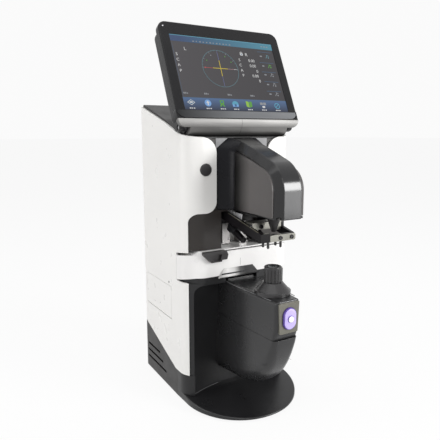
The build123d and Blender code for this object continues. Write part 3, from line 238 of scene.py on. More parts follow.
# Painted shade: the bezel's strip darkens toward -X, down to 0.10 at its end.
strip_metal = material("strip_metal", (0.155, 0.160, 0.168), 0.42, metallic=0.7, tint=0.12, cloud=14,
                       stretch=(0.5, 5, 5), grain=900, bump=0.03, edge=0.1,
                       fade=("X", ((-0.086, 0.10), (-0.060, 0.35), (-0.01, 0.85), (0.086, 1.0))))
# Painted highlight along the left fork arm's top edge.
painted_edge_highlight = material("painted_edge_highlight", (0.17, 0.16, 0.115), 0.35, metallic=0.3, tint=0.15, cloud=60, bump=0.02,
                      edge=0)
# Painted reflection: the sloping plate is dark, and this pale colour, brightest about X -0.024 m and nearly
# black toward +X, paints the light that it mirrors.
plate_painted_reflection = material("plate_painted_reflection", (0.74, 0.73, 0.72), 0.40, tint=0.03, cloud=24, bump=0.01, ior=1.22,
                       fade=("X", (
                           (-0.040, 0.45), (-0.024, 1.0), (-0.014, 0.75), (-0.006, 0.10), (0.002, 0.012))))
lamp_white = material("lamp_white", (0.90, 0.89, 0.93), 0.18, tint=0.01, cloud=90, bump=0.0, edge=0)
board_green = material("board_green", (0.015, 0.11, 0.045), 0.35, tint=0.2, cloud=160, grain=1200, bump=0.1)
alloy = material("cast_alloy", (0.42, 0.42, 0.43), 0.42, metallic=0.9, tint=0.08, grain=1100, bump=0.08)
paper = material("paper", (0.85, 0.84, 0.80), 0.75, tint=0.03, stretch=(1, 20, 1), grain=1600, bump=0.10,
                 edge=0)
clear = material("clear_glass", (0.9, 0.95, 0.97), 0.05, tint=0.01, spread=0.02, bump=0.0, edge=0,
                 transmission=0.95)
# Painted highlight: a light grey ring along the joint of the screen's bezel and back.
bezel_joint_highlight_grey = material("bezel_joint_highlight_grey", (0.42, 0.42, 0.43), 0.30, metallic=0.6, cloud=60, edge=0)
rim_black = material("rim_black", (0.006, 0.006, 0.007), 0.45, edge=0)
# The display's grey glows as its backlight, and its rise toward -X is a painted reflection.
display_grey = glowing("display_grey", (0.030, 0.027, 0.030), (0.050, 0.046, 0.050), "X", 0.05, -0.07, 0.18)

paints = {
    white: ["left_side_shell", "right_side_shell", "printer_door"],
    white_table: ["lens_table"],
    charcoal: ["printer_bay", "vent_skirt", "rear_cover", "top_cover", "head_floor"],
    cover_black: ["lower_front_cover"],
    panel_brown: ["upper_front_panel"],
    foot_black: ["front_foot"],
    housing_black: ["housing_upper", "housing_lower"],
    gloss_black: ["head_cover", "power_entry", "rocker_switch", "tact_switches"],
    neck_black: ["head_neck"],
    flank_grey: ["head_side_panels"],
    bezel_black: ["screen_bezel"],
    back_black: ["screen_back"],
    chin_metal: ["screen_chin"],
    display_grey: ["display_panel"],
    rubber: ["rubber_feet", "lens_holder_pins"],
    nose_black: ["nosepiece_base", "nosepiece_tube"],
    black_steel: ["base_plate", "printer_mechanism", "collimator_barrel", "objective_barrel", "marker_slide",
                  "marker_guide", "hinge_brackets"],
    plate_painted_reflection: ["table_bracket"],
    clamp_black: ["lens_holder_fork", "marker_pens"],
    pale_metal: ["lens_holder_plates"],
    rail_metal: ["lens_holder_rails"],
    steel: ["chassis_frame", "table_rods", "hinge_pins", "rear_screws"],
    screw_black: ["lens_holder_screws"],
    spring_steel: ["lens_holder_springs"],
    alloy: ["upper_arm", "lower_arm"],
    clear: ["collimator_lens", "cover_glass"],
    board_green: ["lamp_board", "sensor_board", "main_board", "power_supply"],
    slider_grey: ["bridge_slider"],
    knob_black: ["ear_button"],
    panel_olive: ["button_panel"],
    violet: ["memory_button"],
    lamp_white: ["button_lamp"],
    paper: ["paper_roll"],
}
for paint, names in paints.items():
    for node in names:
        nodes[node].data.materials.clear()
        nodes[node].data.materials.append(paint)


# Mesh helpers
def piece(name, shape, body, finish, crease=35):
    """A new piece of the object from a bmesh."""
    bmesh.ops.recalc_face_normals(shape, faces=shape.faces)
    mesh = bpy.data.meshes.new(name)
    shape.to_mesh(mesh)
    shape.free()
    mesh.materials.append(finish)
    for face in mesh.polygons:
        face.use_smooth = True
    mesh.set_sharp_from_angle(angle=radians(crease))
    made = add_object(name, mesh)
    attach(made, body)
    return made


def solid(shape, points, place, low, high, soften=0.0):
    """Adds a prism: a closed outline of (u, v) points from depth low to depth high."""
    bottom = [shape.verts.new(place(u, v, low)) for u, v in points]
    top = [shape.verts.new(place(u, v, high)) for u, v in points]
    made = [shape.faces.new(bottom), shape.faces.new(top)]
    for i in range(len(points)):
        j = (i + 1) % len(points)
        made.append(shape.faces.new((bottom[i], bottom[j], top[j], top[i])))
    if soften:
        rim = {edge for face in made[:2] for edge in face.edges}
        bmesh.ops.bevel(shape, geom=list(rim), offset=soften * MM, segments=2, profile=0.6, affect="EDGES")


def hoop(shape, inner, outer, place, low, high):
    """Adds a closed band between two outlines that have as many points."""
    loops = [[shape.verts.new(place(u, v, d)) for u, v in line] for line, d in (
        (inner, low), (inner, high), (outer, high), (outer, low))]
    count = len(inner)
    for k in range(4):
        this, following = loops[k], loops[(k + 1) % 4]
        for i in range(count):
            j = (i + 1) % count
            shape.faces.new((this[i], this[j], following[j], following[i]))


def disc_points(u, v, r, count=40, start=0.0, sweep=2 * pi):
    """Points of a circle or an arc."""
    steps = count if sweep >= 2 * pi else count - 1
    return [(u + r * cos(start + sweep * i / steps), v + r * sin(start + sweep * i / steps))
            for i in range(count)]


def rect_points(u0, u1, v0, v1, r=0.0, steps=5):
    """Points of a rectangle with round corners."""
    if not r:
        return [(u0, v0), (u1, v0), (u1, v1), (u0, v1)]
    corners = ((u1 - r, v0 + r, -pi / 2), (u1 - r, v1 - r, 0), (u0 + r, v1 - r, pi / 2), (u0 + r, v0 + r, pi))
    points = []
    for corner_u, corner_v, turn in corners:
        points += disc_points(corner_u, corner_v, r, steps + 1, turn, pi / 2)
    return points


def bar_points(u0, v0, u1, v1, width):
    """Points of a straight stroke."""
    length = sqrt((u1 - u0) ** 2 + (v1 - v0) ** 2)
    nu, nv = -(v1 - v0) / length * width / 2, (u1 - u0) / length * width / 2
    return [(u0 + nu, v0 + nv), (u0 - nu, v0 - nv), (u1 - nu, v1 - nv), (u1 + nu, v1 + nv)]


def lofted(shape, loops):
    """Adds a solid through closed loops of vertices that have as many points."""
    for this, following in zip(loops, loops[1:]):
        for i in range(len(this)):
            j = (i + 1) % len(this)
            shape.faces.new((this[i], this[j], following[j], following[i]))
    shape.faces.new(loops[0])
    shape.faces.new(loops[-1])


def turned(shape, profile, place, count):
    """Adds a turned solid: profile is (radius, height) from the axis out and back to it."""
    rings = []
    for r, h in profile:
        if r < 1e-6:
            rings.append([shape.verts.new(place(0, 0, h))])
        else:
            rings.append([shape.verts.new(place(r * cos(2 * pi * i / count), r * sin(2 * pi * i / count), h))
                          for i in range(count)])
    for this, following in zip(rings, rings[1:]):
        for i in range(count):
            j = (i + 1) % count
            corners = [this[i % len(this)], this[j % len(this)],
                       following[j % len(following)], following[i % len(following)]]
            kept = list(dict.fromkeys(corners))
            if len(kept) > 2:
                shape.faces.new(kept)


def facing_front(u, v, d):
    """A point of an upright plane that faces the front: u across, v up and d its Y."""
    return at(u, d, v)


def facing_side(u, v, d):
    """A point of an upright plane that faces sideways: u its Y, v up and d across."""
    return at(d, u, v)


# Screen
LEAN = radians(25.0)
SCREEN_Y, SCREEN_Z = -5.7, 359.8
FACE = -0.6                        # the display lies this far under the bezel's front
DISPLAY_HALF_W = 74.3
DISPLAY_LOW, FOOT_TOP = 10.8, 26.6
TITLE_LOW, DISPLAY_TOP = 100.6, 109.3
INK_T = 0.04
# Painted shade: each mark on the display is a little darker toward -X.
DIM_SIDE = 0.86                    # brightness of a mark at the display's darker side
BAR_LEVEL, INK_LEVEL, OVER = 0.02, 0.10, 0.16   # how high bars, marks and marks on marks lie


def on_screen(x, v, w):
    """A point of the screen: x across, v up it and w out of it."""
    return at(x, SCREEN_Y + v * sin(LEAN) - w * cos(LEAN), SCREEN_Z + v * cos(LEAN) + w * sin(LEAN))


def glow(name, rgb):
    """A plainly lit colour on the display, with painted shade that makes it a little darker to one side."""
    return glowing(name, [c * DIM_SIDE for c in rgb], rgb, "X", -0.08, 0.08)


inks = {
    "title_bar": glowing("ink_title", (0.02, 0.05, 0.13), (0.05, 0.22, 0.30), "X", -0.06, 0.075),
    "foot_bar": glowing("ink_foot", (0.010, 0.018, 0.045), (0.055, 0.115, 0.24), "Z",
                        on_screen(0, 11, 0).z, on_screen(0, 26, 0).z),
    "line_bright": glow("ink_line_bright", (0.13, 0.36, 0.48)),
    "line_blue": glow("ink_line_blue", (0.05, 0.10, 0.17)),
    "teal": glow("ink_teal", (0.10, 0.22, 0.26)),
    "white": glow("ink_white", (0.62, 0.62, 0.62)),
    "grey": glow("ink_grey", (0.24, 0.25, 0.27)),
    "yellow": glow("ink_yellow", (0.55, 0.42, 0.03)),
    "red": glow("ink_red", (0.45, 0.06, 0.06)),
    "rose": glow("ink_rose", (0.40, 0.22, 0.24)),
    "violet": glow("ink_violet", (0.15, 0.17, 0.38)),
    "green": glow("ink_green", (0.08, 0.30, 0.03)),
    "lime": glow("ink_lime", (0.24, 0.46, 0.04)),
    "sky": glow("ink_sky", (0.16, 0.34, 0.66)),
    "cyan": glow("ink_cyan", (0.08, 0.32, 0.46)),
    "blue": glow("ink_blue", (0.03, 0.13, 0.25)),
}
drawn = {name: bmesh.new() for name in inks}


def ink(colour, points, level=INK_LEVEL):
    """Draws one closed outline on the display."""
    low = FACE + level
    solid(drawn[colour], points, on_screen, low, low + INK_T)


def ink_ring(colour, x, v, r, width):
    """Draws a thin circle on the display."""
    low = FACE + INK_LEVEL
    hoop(drawn[colour], disc_points(x, v, r - width / 2, 72), disc_points(x, v, r + width / 2, 72),
         on_screen, low, low + INK_T)


def ink_line(colour, x0, v0, x1, v1, width, level=INK_LEVEL):
    """Draws a stroke on the display."""
    ink(colour, bar_points(x0, v0, x1, v1, width), level)


def ink_mark(colour, x0, x1, v0, v1, level=INK_LEVEL):
    """Draws a short bar with small round corners."""
    ink(colour, rect_points(x0, x1, v0, v1, 0.3, 2), level)


ink("title_bar", rect_points(-DISPLAY_HALF_W, DISPLAY_HALF_W, TITLE_LOW, DISPLAY_TOP), BAR_LEVEL)
ink_line("line_bright", -DISPLAY_HALF_W, 109.0, DISPLAY_HALF_W, 109.0, 0.7)
ink("foot_bar", rect_points(-DISPLAY_HALF_W, DISPLAY_HALF_W, DISPLAY_LOW, FOOT_TOP), BAR_LEVEL)
ink_line("line_blue", -DISPLAY_HALF_W, 26.5, DISPLAY_HALF_W, 26.5, 0.5)
ink_line("line_blue", -73.0, 27.0, -73.0, 98.0, 0.35)
for step, width in enumerate((2.2, 1.4, 2.4, 1.8, 2.0, 2.6, 1.6, 2.2, 1.9, 2.4, 1.5, 2.2)):
    ink_mark("grey", -44.5 + 4.7 * step, -44.5 + 4.7 * step + width, 101.9, 103.3)
for step in range(3):
    ink_mark("grey", 56.5 + 4.2 * step, 59.0 + 4.2 * step, 104.2, 105.4)

# Target with its cross
TARGET_X, TARGET_V, TARGET_R = -13.2, 67.7, 25.2
LONG_TICK, SHORT_TICK = 2.6, 1.4


def on_target(degrees, r):
    """The point of the display at an angle and a distance from the target's middle."""
    return TARGET_X + r * cos(radians(degrees)), TARGET_V + r * sin(radians(degrees))


ink_ring("teal", TARGET_X, TARGET_V, TARGET_R, 0.42)
for degrees in range(0, 181, 10):
    length = SHORT_TICK if degrees % 30 else LONG_TICK
    ink_line("teal" if degrees % 30 else "grey", *on_target(degrees, TARGET_R),
             *on_target(degrees, TARGET_R - length), 0.35)
for degrees, colour in ((30, "green"), (60, "green"), (120, "grey"), (150, "green")):
    ink(colour, disc_points(*on_target(degrees, TARGET_R - 5.2), 0.75, 12))
ink_line("violet", TARGET_X, TARGET_V + 11.5, TARGET_X, TARGET_V + TARGET_R - 0.5, 0.45)
ink_line("violet", TARGET_X, TARGET_V - TARGET_R + 0.5, TARGET_X, TARGET_V - 11, 0.4)
ink_line("red", TARGET_X - TARGET_R + 2.4, TARGET_V, TARGET_X - 11, TARGET_V, 0.5)
ink("red", disc_points(TARGET_X - 21.5, TARGET_V, 0.9, 14), 0.15)
ink_line("rose", TARGET_X + 10, TARGET_V, TARGET_X + TARGET_R - 6, TARGET_V, 0.5)
ink_line("white", TARGET_X + TARGET_R - 6, TARGET_V, TARGET_X + TARGET_R, TARGET_V, 0.5)
ink_line("yellow", TARGET_X - 10.8, TARGET_V, TARGET_X + 10.2, TARGET_V, 0.9, OVER)
ink_line("yellow", TARGET_X, TARGET_V - 10.6, TARGET_X, TARGET_V + 11.0, 0.9, OVER + 0.01)

# Side column: small marks between thin lines
for v in (96.6, 80.9, 67.4, 53.4, 39.7):
    ink_line("line_blue", 48.5, v, 70.5, v, 0.6)
for v, colour in ((90.2, "teal"), (76.0, "green"), (63.2, "grey"), (49.2, "grey"), (35.6, "grey")):
    ink_mark("grey", 51.2, 54.6, v - 0.7, v + 0.9)
    ink_line(colour, 60.5, v - 2.2, 63.6, v + 2.6, 0.8)
    ink_line(colour, 62.0, v + 2.4, 65.8, v + 1.0, 0.7)
    ink(colour, disc_points(64.6, v - 1.4, 1.0, 14))
for x in (-68.9, -41.6, -9.2, 24.1):
    for x0, x1, top in ((-3.0, -1.3, 33.2), (-0.7, 0.9, 33.2), (1.5, 2.9, 32.6)):
        ink_mark("grey", x + x0, x + x1, 31.0, top)

# Icons along the foot, each over three short marks
for x in (-64.4, -42.3, -23.0, -4.2, 15.9, 37.0, 58.5):
    for k, width in enumerate((2.2, 1.6, 2.0)):
        ink_mark("white", x - 3.6 + 2.6 * k, x - 3.6 + 2.6 * k + width, 12.2, 13.5)
diamond = [(-69.6, 20.3), (-64.4, 16.6), (-59.2, 20.3), (-64.4, 24.0)]
ink("white", diamond, 0.06)
ink("blue", [(-64.4 + (x + 64.4) * 0.78, 20.3 + (v - 20.3) * 0.78) for x, v in diamond], 0.11)
ink("white", rect_points(-66.3, -62.5, 19.4, 21.4, 0.5, 2), OVER)
ink("sky", disc_points(-42.3, 20.0, 4.4, 36))
arrow = [(-42.3, 23.0), (-44.6, 20.2), (-43.1, 20.2), (-43.1, 17.2),
         (-41.5, 17.2), (-41.5, 20.2), (-40.0, 20.2)]
ink("white", arrow, OVER)
ink("green", rect_points(-25.6, -19.9, 19.6, 24.2, 0.8, 3))
legs = [(-26.6, 16.0), (-24.4, 16.0), (-22.9, 18.6), (-21.6, 16.0),
        (-19.4, 16.0), (-21.4, 20.0), (-24.8, 20.0)]
ink("green", legs)
ink("blue", rect_points(-24.2, -21.3, 20.9, 22.9, 0.4, 2), OVER)
ink("cyan", disc_points(-4.2, 19.2, 4.6, 24, 0, pi))
ink("sky", rect_points(-8.4, 0.0, 16.2, 19.2, 0.6, 3))
ink_mark("blue", -5.6, -2.8, 16.6, 19.8, OVER)
ink("lime", [(11.6, 17.0), (15.6, 15.6), (15.6, 23.6), (11.6, 24.2)])
ink("green", [(16.1, 15.6), (20.2, 17.2), (20.2, 24.0), (16.1, 23.4)])
for x0 in (32.6, 37.4):
    ink("grey", rect_points(x0, x0 + 4.2, 19.8, 23.2, 0.5, 2))
ink("white", rect_points(35.2, 39.2, 15.8, 18.4, 0.4, 2))
ink_ring("cyan", 58.5, 19.0, 3.6, 0.9)
ink_line("cyan", 55.6, 16.4, 61.6, 22.0, 0.8)

# Lock beside the letter R
LOCK_X = 22.8
ink("white", rect_points(LOCK_X - 2.1, LOCK_X + 2.1, 88.8, 92.0, 0.8, 3))
ink_ring("white", LOCK_X, 92.2, 1.5, 0.7)
ink_mark("blue", LOCK_X - 0.9, LOCK_X + 0.9, 89.7, 91.0, OVER)
for name, shape in drawn.items():
    piece("display_" + name, shape, "screen", inks[name])

# Figures on the display
readings = [
    ("L", -57.1, 91.0, 5.6), ("S", -69.6, 82.9, 4.8), ("C", -69.6, 75.6, 4.8), ("A", -69.5, 68.4, 4.8),
    ("P", -68.9, 60.9, 4.8), ("R", 30.0, 90.3, 5.6), ("S", 17.8, 82.0, 4.8), ("C", 17.8, 74.6, 4.8),
    ("A", 17.9, 67.2, 4.8), ("P", 18.2, 60.2, 4.8), ("0.00", 36.0, 82.0, 5.0), ("0.00", 36.2, 74.6, 5.0),
    ("0", 41.2, 67.2, 5.0), ("0.00", 36.6, 60.2, 5.0), ("0", 41.4, 53.4, 5.0)]
tilt = Matrix(((1, 0, 0), (0, sin(LEAN), -cos(LEAN)), (0, cos(LEAN), sin(LEAN)))).to_4x4()
for index, (word, x, v, height) in enumerate(readings):
    face = bpy.data.curves.new(f"reading_{index}", "FONT")
    face.body = word
    face.size = height * 1.12 * MM
    face.align_x = "CENTER"
    face.align_y = "CENTER"
    face.extrude = 0.03 * MM
    face.materials.append(inks["white"])
    made = add_object(f"reading_{index}", face)
    made.matrix_world = Matrix.Translation(on_screen(x, v, FACE + INK_LEVEL + INK_T)) @ tilt
    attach(made, "screen")

# Fine trim of the screen: a light grey ring between bezel and back as a painted highlight along their joint,
# status lamp, rim of the display
bezel_joint_highlight = bmesh.new()
hoop(bezel_joint_highlight, rect_points(-82.6, 82.6, 1.0, 125.6, 9.5, 12), rect_points(-85.6, 85.6, 0.4, 126.0, 10.4, 12),
     on_screen, -8.9, -8.15)
piece("screen_bezel_joint_highlight", bezel_joint_highlight, "screen", bezel_joint_highlight_grey)
status = bmesh.new()
turned(status, [(0, -0.4), (0.75, -0.4), (0.75, 0.02), (0.5, 0.12), (0, 0.16)],
       lambda u, v, d: on_screen(-80.2 + u, 119.6 + v, d), 20)
piece("screen_status_lamp", status, "screen", lamp_white)
rim = bmesh.new()
hoop(rim, rect_points(-74.35, 74.35, 10.65, 109.45, 0.8, 4), rect_points(-75.1, 75.1, 9.9, 110.2, 1.0, 4),
     on_screen, FACE + 0.02, FACE + 0.35)
piece("display_rim", rim, "screen", rim_black)


# Screws with crossed recesses
X, Y, Z = Vector((1, 0, 0)), Vector((0, 1, 0)), Vector((0, 0, 1))
CROSS_REACH, CROSS_HALF_W = 0.62, 0.2     # of the head's radius
CROSS_DEPTH = 0.55
HEAD_POINTS = 24


def crossed_head(shape, centre, across_axis, up_axis, out_axis, r, height):
    """Adds a low domed screw head with a crossed recess."""
    def place(u, v, d):
        return centre + (across_axis * u + up_axis * v + out_axis * d) * MM
    a, s = CROSS_REACH * r, CROSS_HALF_W * r
    cross = [(s, s), (s, a), (-s, a), (-s, s), (-a, s), (-a, -s),
             (-s, -s), (-s, -a), (s, -a), (s, -s), (a, -s), (a, s)]
    outer = [shape.verts.new(place(u, v, height)) for u, v in disc_points(0, 0, r * 0.86, HEAD_POINTS)]
    inner = [shape.verts.new(place(u, v, height)) for u, v in cross]
    low = [shape.verts.new(place(u, v, height - CROSS_DEPTH)) for u, v in cross]
    lines = [shape.edges.new((loop[i], loop[(i + 1) % len(loop)])) for loop in (outer, inner)
             for i in range(len(loop))]
    bmesh.ops.triangle_fill(shape, edges=lines, use_beauty=True)
    skirt = [shape.verts.new(place(u, v, height * 0.55)) for u, v in disc_points(0, 0, r, HEAD_POINTS)]
    base = [shape.verts.new(place(u, v, 0)) for u, v in disc_points(0, 0, r, HEAD_POINTS)]
    for upper, lower in ((inner, low), (outer, skirt), (skirt, base)):
        for i in range(len(upper)):
            j = (i + 1) % len(upper)
            shape.faces.new((upper[i], upper[j], lower[j], lower[i]))
    shape.faces.new(low)
    shape.faces.new(base)


holder_screws = bmesh.new()
for x, y, z in ((3.2, -83.2, 225.9), (19.0, -83.2, 225.9), (-7.9, -61.0, 236.2), (7.9, -61.0, 236.2)):
    crossed_head(holder_screws, at(x, y, z), X, Z, -Y, 2.5, 1.3)
holder_heads = piece("holder_screw_heads", holder_screws, "lens_holder", screw_black)
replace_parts(holder_heads, "lens_holder_screws")
rear_screws = bmesh.new()
for x in (-66.0, 66.0):
    for z in (86.0, 366.0):
        crossed_head(rear_screws, at(x, 129.9, z), -X, Z, Y, 3.0, 1.0)
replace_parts(piece("rear_screw_heads", rear_screws, "cabinet", steel), "rear_screws")

# Memory button: a raised oval cap with its white lamp, in a thin well; the cap's side and the dot's rim are a
# darker copy of its violet, as painted shade
BUTTON_Z, PANEL_Y = 138.5, -106.1
END_POINTS = 14


def slot_outline(w, h):
    """Points of an upright slot about the button's middle."""
    r, straight = w / 2, (h - w) / 2
    return (disc_points(0, BUTTON_Z + straight, r, END_POINTS, 0, pi)
            + disc_points(0, BUTTON_Z - straight, r, END_POINTS, pi, pi))


def from_front(u, v, d):
    """A point of the housing's front: u across, v up and d proud of its panel."""
    return at(u, PANEL_Y - d, v)


def from_button(u, v, d):
    """The same, with v measured from the button's middle."""
    return from_front(u, BUTTON_Z + v, d)


def oval_cap(shape, sections):
    """Adds a closed oval button: sections are (width, height, depth) from its back to its face."""
    lofted(shape, [[shape.verts.new(from_front(u, v, d)) for u, v in slot_outline(w, h)]
                   for w, h, d in sections])


surround = bmesh.new()
hoop(surround, slot_outline(17.2, 25.2), slot_outline(18.4, 26.4), from_front, -0.5, 0.3)
piece("button_surround", surround, "cabinet", violet_dark)
cap_side = bmesh.new()
oval_cap(cap_side, [(17.0, 25.0, -1.2), (17.0, 25.0, 1.9), (16.4, 24.4, 2.6), (15.6, 23.6, 2.7)])
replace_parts(piece("button_cap_side", cap_side, "memory_key", violet_painted_shade), "memory_button")
cap_face = bmesh.new()
oval_cap(cap_face, [(15.9, 23.9, 2.3), (15.7, 23.7, 2.75), (14.6, 22.6, 3.0), (11.5, 19.5, 3.1)])
piece("button_cap_face", cap_face, "memory_key", violet, 60)
dot_rim = bmesh.new()
turned(dot_rim, [(0, 2.9), (4.1, 2.9), (4.1, 3.7), (3.7, 4.0), (0, 4.0)], from_button, 36)
piece("button_dot_rim", dot_rim, "memory_key", violet_painted_shade)
dot_face = bmesh.new()
turned(dot_face, [(0, 3.8), (3.6, 3.8), (3.55, 4.2), (2.6, 4.55), (0, 4.7)], from_button, 36)
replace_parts(piece("button_dot", dot_face, "memory_key", lamp_white, 70), "button_lamp")


# Fine lines: dark seams, and painted highlights along creases and edges that catch the light
THREAD_SIDES = 6


def thread(shape, points, r):
    """Adds a thin tube along a path of points in millimetres."""
    path = [at(*point) for point in points]
    side = None
    loops = []
    for i, here in enumerate(path):
        run = (path[min(i + 1, len(path) - 1)] - path[max(i - 1, 0)]).normalized()
        side = run.orthogonal().normalized() if side is None else (side - run * side.dot(run)).normalized()
        other = run.cross(side)
        loops.append([shape.verts.new(here + (side * u + other * v) * r * MM)
                      for u, v in disc_points(0, 0, 1, THREAD_SIDES)])
    lofted(shape, loops)


# The hollow of the front cover: an arc through its deepest point and its two edges
SCOOP_DEPTH, SCOOP_HALF_W = 14.0, 66.5
SCOOP_Y = (SCOOP_DEPTH ** 2 - SCOOP_HALF_W ** 2) / (2 * SCOOP_DEPTH)
SCOOP_R = SCOOP_DEPTH - SCOOP_Y


def scoop_point(x, z, off):
    """A point that lies a little off the hollow's wall."""
    return (x, SCOOP_Y + sqrt((SCOOP_R + off) ** 2 - x ** 2), z)


# Painted highlights: light grey lines along the hollow's crease at the foot and up its two edges
crease = bmesh.new()
for side in (-1, 1):
    thread(crease, [scoop_point(side * (24 + 2 * k), 12.75, -0.2) for k in range(21)], 0.28)
    thread(crease, [(side * 66.4, 0.15, 16 + 4 * k) for k in range(33)], 0.3)
piece("hollow_edge_highlights", crease, "cabinet", highlight_grey, 80)
seams = bmesh.new()
for side in (-1, 1):
    thread(seams, [(side * (22.4 - 0.085 * k), -33 - k, 69.0 + 0.16 * k) for k in range(0, 60, 3)], 0.16)
thread(seams, [(-4.4, -11.0, 178.5), (-4.4, -11.0, 188.0)], 0.14)
piece("fine_seams", seams, "cabinet", seam_dark, 80)

# Lower housing: a keel that rounds up to the front, in sections that fan out from the seam
HULL_SEAM_Z = 111.85
HUB_Y = -20.0             # the sections ahead of this line meet on it; those behind hang straight down
HULL_HALF_W = 23.0
TAPER, TAPER_Y, TAPER_RUN = 6.7, -31.5, 74.0
FLARE, FLARE_Y, FLARE_RUN, FLARE_DROP = 5.0, -15.0, 31.0, 30.0
KEEL = ((-102.2, HULL_SEAM_Z), (-101.4, 105), (-99.6, 97.5), (-96.6, 88), (-92.0, 77), (-85.8, 66),
        (-77.8, 56), (-68, 48), (-57, 42), (-45, 37.6), (-33, 34.4), (-20, 32.0), (-8, 30.6), (4, 30),
        (15.5, 30))


def hull_half(y, z):
    """Half the housing's width at a height: narrower to the front, flared at the rear."""
    half = HULL_HALF_W - TAPER * max(TAPER_Y - y, 0) / TAPER_RUN
    if y > FLARE_Y:
        half += FLARE * ((y - FLARE_Y) / FLARE_RUN) ** 2 * min((HULL_SEAM_Z - z) / FLARE_DROP, 1)
    return half


def hull_section(step):
    """Points (x, y, z) of one side of a section, from the seam to the keel."""
    keel_y, keel_z = KEEL[step]
    hub_y = max(keel_y, HUB_Y)
    length = sqrt((keel_y - hub_y) ** 2 + (keel_z - HULL_SEAM_Z) ** 2)
    dy, dz = (keel_y - hub_y) / length, (keel_z - HULL_SEAM_Z) / length
    round_r = 5 + 15 * min(step / 10, 1)
    straight = length - round_r
    runs = [(straight * k / 5, 0.0) for k in range(6)]
    for k in range(1, 9):
        turn = pi / 2 * k / 8
        runs.append((straight + round_r * sin(turn), round_r * (1 - cos(turn))))
    section = []
    for run, inward in runs:
        y, z = hub_y + dy * run, HULL_SEAM_Z + dz * run
        section.append((hull_half(y, z) - inward, y, z))
    return section


hull = bmesh.new()
loops = []
for step in range(len(KEEL)):
    line = hull_section(step)
    loops.append([hull.verts.new(at(x, y, z)) for x, y, z in line]
                 + [hull.verts.new(at(-x, y, z)) for x, y, z in reversed(line)])
lofted(hull, loops)
bmesh.ops.remove_doubles(hull, verts=hull.verts, dist=0.00001)
bmesh.ops.dissolve_degenerate(hull, edges=hull.edges, dist=0.00001)
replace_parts(piece("housing_hull", hull, "cabinet", housing_black, 50), "housing_lower")

# Neck: two cheeks that sweep out from the head's sides to the ears
CHEEK_Y, CHEEK_RUN, CHEEK_STEPS = -24.0, 18.4, 12
CHEEK_INNER_X = 11.2
cheeks = bmesh.new()
for side in (-1, 1):
    loops = []
    for step in range(CHEEK_STEPS + 1):
        t = step / CHEEK_STEPS
        half = 21.6 + 14.4 * t ** 1.7
        shoulder, top, top_half = 319.6 + 4.7 * t, 331.6 + 5.4 * t, 13.0 + 6.8 * t
        points = [(CHEEK_INNER_X, 255.0), (half - 1.5, 251.2), (half, 252.6), (half, shoulder - 1.2),
                  (half - 1.1, shoulder + 1.2), (top_half + 1.0, top - 0.7), (top_half - 0.8, top),
                  (CHEEK_INNER_X, top)]
        loops.append([cheeks.verts.new(at(side * x, CHEEK_Y + CHEEK_RUN * t, z)) for x, z in points])
    lofted(cheeks, loops)
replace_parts(piece("neck_cheeks", cheeks, "cabinet", neck_black, 40), "head_neck")

# Dark lower half of the sloping plate, and painted highlights along the edges of the housing's top
lip = bmesh.new()
solid(lip, [(-36.6, 166.1), (21.6, 166.1), (17.6, 171.4), (-32.6, 171.4)],
      lambda u, v, d: at(u, -14.2 + max(v - 167.5, 0) * 0.274 - d, v), -0.3, 0.12)
piece("plate_lip", lip, "table", neck_black)
edges = bmesh.new()
edge_places = [-6.0 - 4.4 * k for k in range(21)]
for side in (-1, 1):
    thread(edges, [(side * (hull_half(y, 159) - 0.55), y, 158.45) for y in edge_places], 0.42)
piece("housing_edge_highlights", edges, "cabinet", highlight_grey, 80)

# Painted reflection: pale plates beside the top of the neck, where its sloping top mirrors the light from
# above
neck_top_reflection = bmesh.new()
for side in (-1, 1):
    solid(neck_top_reflection, [(side * x, z) for x, z in ((20.8, 336.6), (37.0, 336.6), (37.0, 318.5), (36.4, 324.6))],
          lambda u, v, d: at(u, -5.5 + d, v), -0.25, 0.0)
piece("neck_top_painted_reflection", neck_top_reflection, "cabinet", highlight_grey)

# Lining of the recess behind the lens holder
lining = bmesh.new()
solid(lining, [(-32, 203), (32, 203), (32, 247.6), (7.3, 247.6), (7.3, 222.6), (-7.3, 222.6), (-7.3, 247.6),
               (-32, 247.6)], facing_front, 23.6, 24.8, 0.2)
piece("recess_lining", lining, "cabinet", white)

# On the fork: a bright plate, a painted highlight along the left arm's edge and a stop on each arm
arm_plate = bmesh.new()
solid(arm_plate, [(-5.9, 250.0), (-39.0, 248.4), (-37.0, 242.2), (-9.8, 247.6)],
      facing_side, -20.5, -19.6, 0.15)
piece("arm_plate", arm_plate, "lens_holder", arm_metal)
arm_edge = bmesh.new()
solid(arm_edge, [(-14.0, 246.4), (-14.0, 246.85), (-78.0, 234.05), (-78.0, 233.6)], facing_side, -24.4, -23.8)
piece("arm_edge_highlight", arm_edge, "lens_holder", painted_edge_highlight)
stops = bmesh.new()
for side in (1, -1):
    solid(stops, rect_points(-61.2, -58.0, 229.5, 239.6, 0.8),
          lambda u, v, d: at(side * d, u, v), 20.9, 24.2, 0.3)
piece("arm_stops", stops, "lens_holder", clamp_black)

# Studs beside the rails
studs = bmesh.new()
for x in (-9.2, 9.2):
    for z in (209.0, 223.0, 242.0):
        turned(studs, [(0, -0.2), (1.5, -0.2), (1.45, 0.4), (0.9, 0.75), (0, 0.85)],
               lambda u, v, d: at(x + u, 10.0 - d, z + v), 20)
piece("rail_studs", studs, "cabinet", steel)

# Dark discs set just under the surface, in the latch and the door's pips
dark_discs = bmesh.new()
for y, z, r, low in ((47.0, 152.0, 1.5, -1.0), (95.0, 112.5, 0.75, -0.7), (77.0, 115.0, 0.75, -0.7)):
    turned(dark_discs, [(0, low - 0.1), (r, low - 0.1), (r, -0.25), (0, -0.2)],
           lambda u, v, d: at(-77.5 - d, y + u, z + v), 20)
piece("latch_dark_discs", dark_discs, "cabinet", seam_dark)

